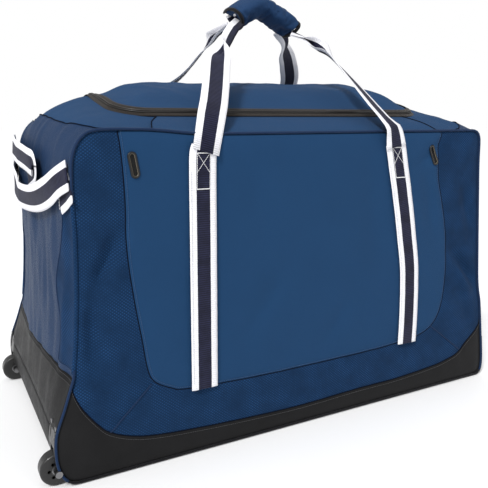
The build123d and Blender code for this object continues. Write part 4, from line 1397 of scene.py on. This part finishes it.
def end_webbing(name, side, stations):
    """Webbing hanging across an end. stations: y, z, distance out from the wall, lean out (degrees)."""
    rows = curve(stations, 130)
    centres, sides = [], []
    for y, z, off, lean in rows:
        centres.append((side * (wall_surface(side, y, z) + off), y, z))
    centres = np.array(centres)
    ahead = np.gradient(centres, axis=0)
    ahead /= np.linalg.norm(ahead, axis=1)[:, None]
    out = np.array([side, 0, 0.0])
    for direction, (_, _, _, lean) in zip(ahead, rows):
        up = np.cross(direction, out) * (1 if np.cross(direction, out)[2] > 0 else -1)
        angle = math.radians(lean)
        sides.append(up * math.cos(angle) + out * math.sin(angle))
    points, faces, uv = ribbon_parts(centres, np.array(sides), WEBBING, WEBBING_THICKNESS, 13)
    points = np.array(points)
    piece = new_mesh(name, points, faces, uv, [WEB])
    if sum(f.center.dot(f.normal) * f.area for f in piece.data.polygons) < 0:
        piece.data.flip_normals()
    return piece


for SIDE, END in ((-1, "wheel_end"), (1, "tow_end")):
    body = f"{END}_grab"
    edge = 0.2400 if SIDE < 0 else 0.2240
    droop = end_webbing(f"{END}_hanging_strap", SIDE, [
        (-edge, 0.482, 0.0050, 0), (0.0200 - edge, 0.474, 0.0080, 2), (-0.1750, 0.452, 0.0120, 10),
        (-0.1150, 0.436, 0.0150, 14), (-0.0500, 0.430, 0.0160, 8), (0.0200, 0.431, 0.0160, 0),
        (0.0900, 0.436, 0.0150, -6), (0.1600, 0.447, 0.0120, 4), (edge - 0.0250, 0.461, 0.0080, 4),
        (edge, 0.470, 0.0050, 0)])
    settle(droop, body, [f"{END}_drooping_strap"])
    if SIDE < 0:
        folded = end_webbing(f"{END}_upper_strap", SIDE, [
            (0.2400, 0.506, 0.0080, 0), (0.1900, 0.507, 0.0110, -4), (0.1200, 0.508, 0.0150, -4),
            (0.0400, 0.506, 0.0170, 2), (-0.0300, 0.500, 0.0165, 6), (-0.0780, 0.493, 0.0150, 4),
            (-0.0930, 0.488, 0.0110, 0), (-0.0800, 0.476, 0.0065, -6), (-0.0300, 0.462, 0.0050, -4)])
        settle(folded, body, [f"{END}_folded_strap"])
    for part, name in ((-1, "front"), (1, "back")):
        tab = end_webbing(f"{END}_{name}_strap_root", SIDE, [
            (part * (edge + 0.0045), 0.464, 0.0018, 0), (part * (edge - 0.0050), 0.459, 0.0024, 0),
            (part * (edge - 0.0180), 0.451, 0.0026, 0), (part * (edge - 0.0340), 0.442, 0.0028, 0)])
        settle(tab, "bag", [f"{END}_strap_anchors"])
        line = np.array([(SIDE * (wall_surface(SIDE, part * 0.205, z) + 0.0050), part * 0.211, z)
                         for z in np.linspace(0.428, 0.460, 16)])
        thread_row(f"{END}_{name}_root_stitching", line, (SIDE, 0, 0), THREAD_WHITE, "webbing")


# ---------------------------------------------------------------- wheel corners and tow guards
WHEEL_Y = {"front": JOINTS["front_wheel_spin"]["pos_m"][1], "rear": JOINTS["rear_wheel_spin"]["pos_m"][1]}
corner_t, corner_line = band_edge(-1)


def guard_sheet(y_low, y_high, from_z, past_x, lift):
    """A strip of moulded plastic that follows the bag's lower corner, from up the wall to under the base."""
    start = distance_along(-1, from_z)
    end = PROFILES[-1][0][-1] + past_x
    t = np.linspace(start, end, 46)
    line = np.column_stack([np.interp(t, corner_t, corner_line[:, k]) for k in (0, 1)])
    ahead = np.gradient(line, axis=0)
    ahead /= np.linalg.norm(ahead, axis=1)[:, None]
    normal = np.column_stack([ahead[:, 1], -ahead[:, 0]])
    if normal[0, 0] > 0:
        normal = -normal
    line = line + normal * lift
    line[:, 1] = np.maximum(line[:, 1], 0.0008)
    y = np.linspace(y_low, y_high, 9)
    points = [(p[0], q, p[1]) for p in line for q in y]
    uv = [(q, s) for s in t for q in y]
    return points, grid_faces(len(t), len(y)), uv


for NAME, SIDE in (("front", -1), ("rear", 1)):
    outer_edge, inner_edge = SIDE * 0.2430, SIDE * (abs(WHEEL_Y[NAME]) + 0.0135)
    low, high = sorted((outer_edge, inner_edge))
    points, faces, uv = guard_sheet(low, high, 0.092, NOTCH_X - 0.006, 0.0022)
    guard = new_mesh(f"{NAME}_corner_guard", points, faces, uv, [GUARD_PLASTIC])
    face_outward(guard, from_middle)
    thicken(guard, 0.0030, lining=False)
    settle(guard, "bag", [f"{NAME}_wheel_housing"])
    inner_low, inner_high = sorted((SIDE * (NOTCH_Y + 0.0005), SIDE * (abs(WHEEL_Y[NAME]) - 0.0135)))
    points, faces, uv = guard_sheet(inner_low, inner_high, 0.092, NOTCH_X - 0.006, 0.0016)
    cheek = new_mesh(f"{NAME}_inner_cheek", points, faces, uv, [SMOOTH_PLASTIC])
    face_outward(cheek, from_middle)
    thicken(cheek, 0.0030, lining=False)
    settle(cheek, "bag", [])
    roof_low, roof_high = sorted((SIDE * NOTCH_Y, SIDE * 0.2400))
    count = 26
    turn = np.linspace(math.radians(-12), math.radians(190), count)
    arch = np.column_stack([AXLE_X - 0.0355 * np.cos(turn), AXLE_Z + 0.0355 * np.sin(turn)])
    arch = arch[arch[:, 0] > AXLE_X - 0.004]
    lip = np.array([(AXLE_X - 0.0010, AXLE_Z + 0.066), (AXLE_X - 0.0050, AXLE_Z + 0.038)])
    line = np.vstack([lip, arch, [(NOTCH_X - 0.004, 0.0016)]])
    line = evenly(line, 44)
    y = np.linspace(roof_low, roof_high, 12)
    points = [(p[0], q, max(p[1], 0.0016)) for p in line for q in y]
    uv = [(q, n * 0.004) for n in range(len(line)) for q in y]
    well = new_mesh(f"{NAME}_wheel_well", points, grid_faces(len(line), len(y)), uv, [SMOOTH_PLASTIC])
    face_outward(well, lambda centre: (AXLE_X - centre.x, 0, AXLE_Z - centre.z))
    thicken(well, 0.0024, lining=False)
    settle(well, "bag", [])

for SIDE, NAME in ((-1, "front"), (1, "back")):
    t, line = band_edge(1)
    start, end = distance_along(1, 0.088), PROFILES[1][0][-1] - HALF_LENGTH + 0.052
    rows = np.linspace(start, end, 30)
    edge = np.column_stack([np.interp(rows, t, line[:, k]) for k in (0, 1)])
    ahead = np.gradient(edge, axis=0)
    ahead /= np.linalg.norm(ahead, axis=1)[:, None]
    normal = np.column_stack([-ahead[:, 1], ahead[:, 0]])
    if normal[0, 0] < 0:
        normal = -normal
    edge = edge + normal * 0.0034
    edge[:, 1] = np.maximum(edge[:, 1], 0.0008)
    y = np.linspace(0.206, 0.2455, 8) * SIDE
    points = [(p[0], q, p[1]) for p in edge for q in y]
    uv = [(q, s) for s in rows for q in y]
    guard = new_mesh(f"{NAME}_tow_guard", points, grid_faces(len(rows), len(y)), uv, [SMOOTH_PLASTIC])
    face_outward(guard, from_middle)
    thicken(guard, 0.0032, lining=False)
    settle(guard, "bag", ["tow_corner_guards"])


# ---------------------------------------------------------------- hard pieces kept from the CAD model
KEPT = {
    "tyre": (TYRE, "tyre"), "wheel_hub": (HUB, "hub_plastic"), "wheel_bearings": (STEEL, "steel"),
    "axle_bolt": (STEEL, "steel"), "axle_nut": (STEEL, "steel"), "axle_spacers": (HUB, "hub_plastic"),
    "zip_slider": (GUNMETAL, "zip_metal"), "zip_pull": (GUNMETAL, "zip_metal"),
    "housing_rivets": (STEEL, "steel"), "base_board": (BOARD, "board"),
}
for name, piece in frame["nodes"].items():
    for ending, (material, slot) in KEPT.items():
        if name.endswith(ending):
            piece.data.materials.clear()
            piece.data.materials.append(material)


# ---------------------------------------------------------------- floor, light and camera
def stage_mesh(name, points, faces, colour, roughness=0.9):
    mesh = bpy.data.meshes.new(name)
    mesh.from_pydata(points, [], faces)
    material = bpy.data.materials.new(name)
    material.use_nodes = True
    shader = material.node_tree.nodes["Principled BSDF"]
    shader.inputs["Base Color"].default_value = (*colour, 1)
    shader.inputs["Roughness"].default_value = roughness
    mesh.materials.append(material)
    piece = bpy.data.objects.new(name, mesh)
    bpy.context.scene.collection.objects.link(piece)
    return piece


stage_mesh("floor", [(-30, -30, -0.0005), (30, -30, -0.0005), (30, 30, -0.0005), (-30, 30, -0.0005)],
           [(0, 1, 2, 3)], (0.97, 0.97, 0.975))


def soft_light(name, place, size, power, target=(0, 0, 0.3)):
    light = bpy.data.lights.new(name, "AREA")
    light.shape = "RECTANGLE"
    light.size, light.size_y = size
    light.energy = power
    piece = bpy.data.objects.new(name, light)
    piece.location = place
    piece.rotation_euler = (Vector(target) - Vector(place)).to_track_quat("-Z", "Y").to_euler()
    bpy.context.scene.collection.objects.link(piece)


soft_light("key", (-1.6, -1.9, 2.3), (1.6, 1.6), 12)
soft_light("end_light", (-3.0, 0.2, 1.2), (1.4, 1.4), 5)
soft_light("top_light", (0.3, 0.5, 3.0), (2.2, 2.2), 12)
soft_light("tow_fill", (2.2, -2.2, 1.2), (1.8, 1.8), 4)
soft_light("back_fill", (1.6, 2.6, 1.6), (1.8, 1.8), 8)

sun = bpy.data.lights.new("sun", "SUN")
sun.energy = 2.3
sun.angle = math.radians(11)
sun_piece = bpy.data.objects.new("sun", sun)
sun_piece.rotation_euler = Vector((0.62, 0.46, -0.78)).to_track_quat("-Z", "Y").to_euler()
bpy.context.scene.collection.objects.link(sun_piece)

world = bpy.data.worlds.new("studio")
bpy.context.scene.world = world
world.use_nodes = True
backdrop = world.node_tree.nodes["Background"]
backdrop.inputs["Color"].default_value = (1.0, 1.0, 1.0, 1)
backdrop.inputs["Strength"].default_value = 0.56
seen = world.node_tree.nodes.new("ShaderNodeBackground")     # what the camera sees behind the floor
seen.inputs["Color"].default_value = (1.0, 1.0, 1.0, 1)
seen.inputs["Strength"].default_value = 1.0
chooser = world.node_tree.nodes.new("ShaderNodeMixShader")
rays = world.node_tree.nodes.new("ShaderNodeLightPath")
world.node_tree.links.new(rays.outputs["Is Camera Ray"], chooser.inputs[0])
world.node_tree.links.new(backdrop.outputs[0], chooser.inputs[1])
world.node_tree.links.new(seen.outputs[0], chooser.inputs[2])
world.node_tree.links.new(chooser.outputs[0], world.node_tree.nodes["World Output"].inputs[0])

camera_data = bpy.data.cameras.new("camera")
camera = bpy.data.objects.new("camera", camera_data)
bpy.context.scene.collection.objects.link(camera)
CAMERA_YAW, CAMERA_PITCH = math.radians(28.06), math.radians(9.0)
camera.location = (-0.602, -1.135, 0.563)
look = Vector((math.sin(CAMERA_YAW) * math.cos(CAMERA_PITCH), math.cos(CAMERA_YAW) * math.cos(CAMERA_PITCH),
               -math.sin(CAMERA_PITCH)))
camera.rotation_euler = look.to_track_quat("-Z", "Y").to_euler()
camera_data.sensor_width = 36
camera_data.lens = 44.95
camera_data.shift_y = -0.0594
camera_data.clip_start, camera_data.clip_end = 0.05, 60
bpy.context.scene.camera = camera
bpy.context.scene.view_settings.view_transform = "Standard"
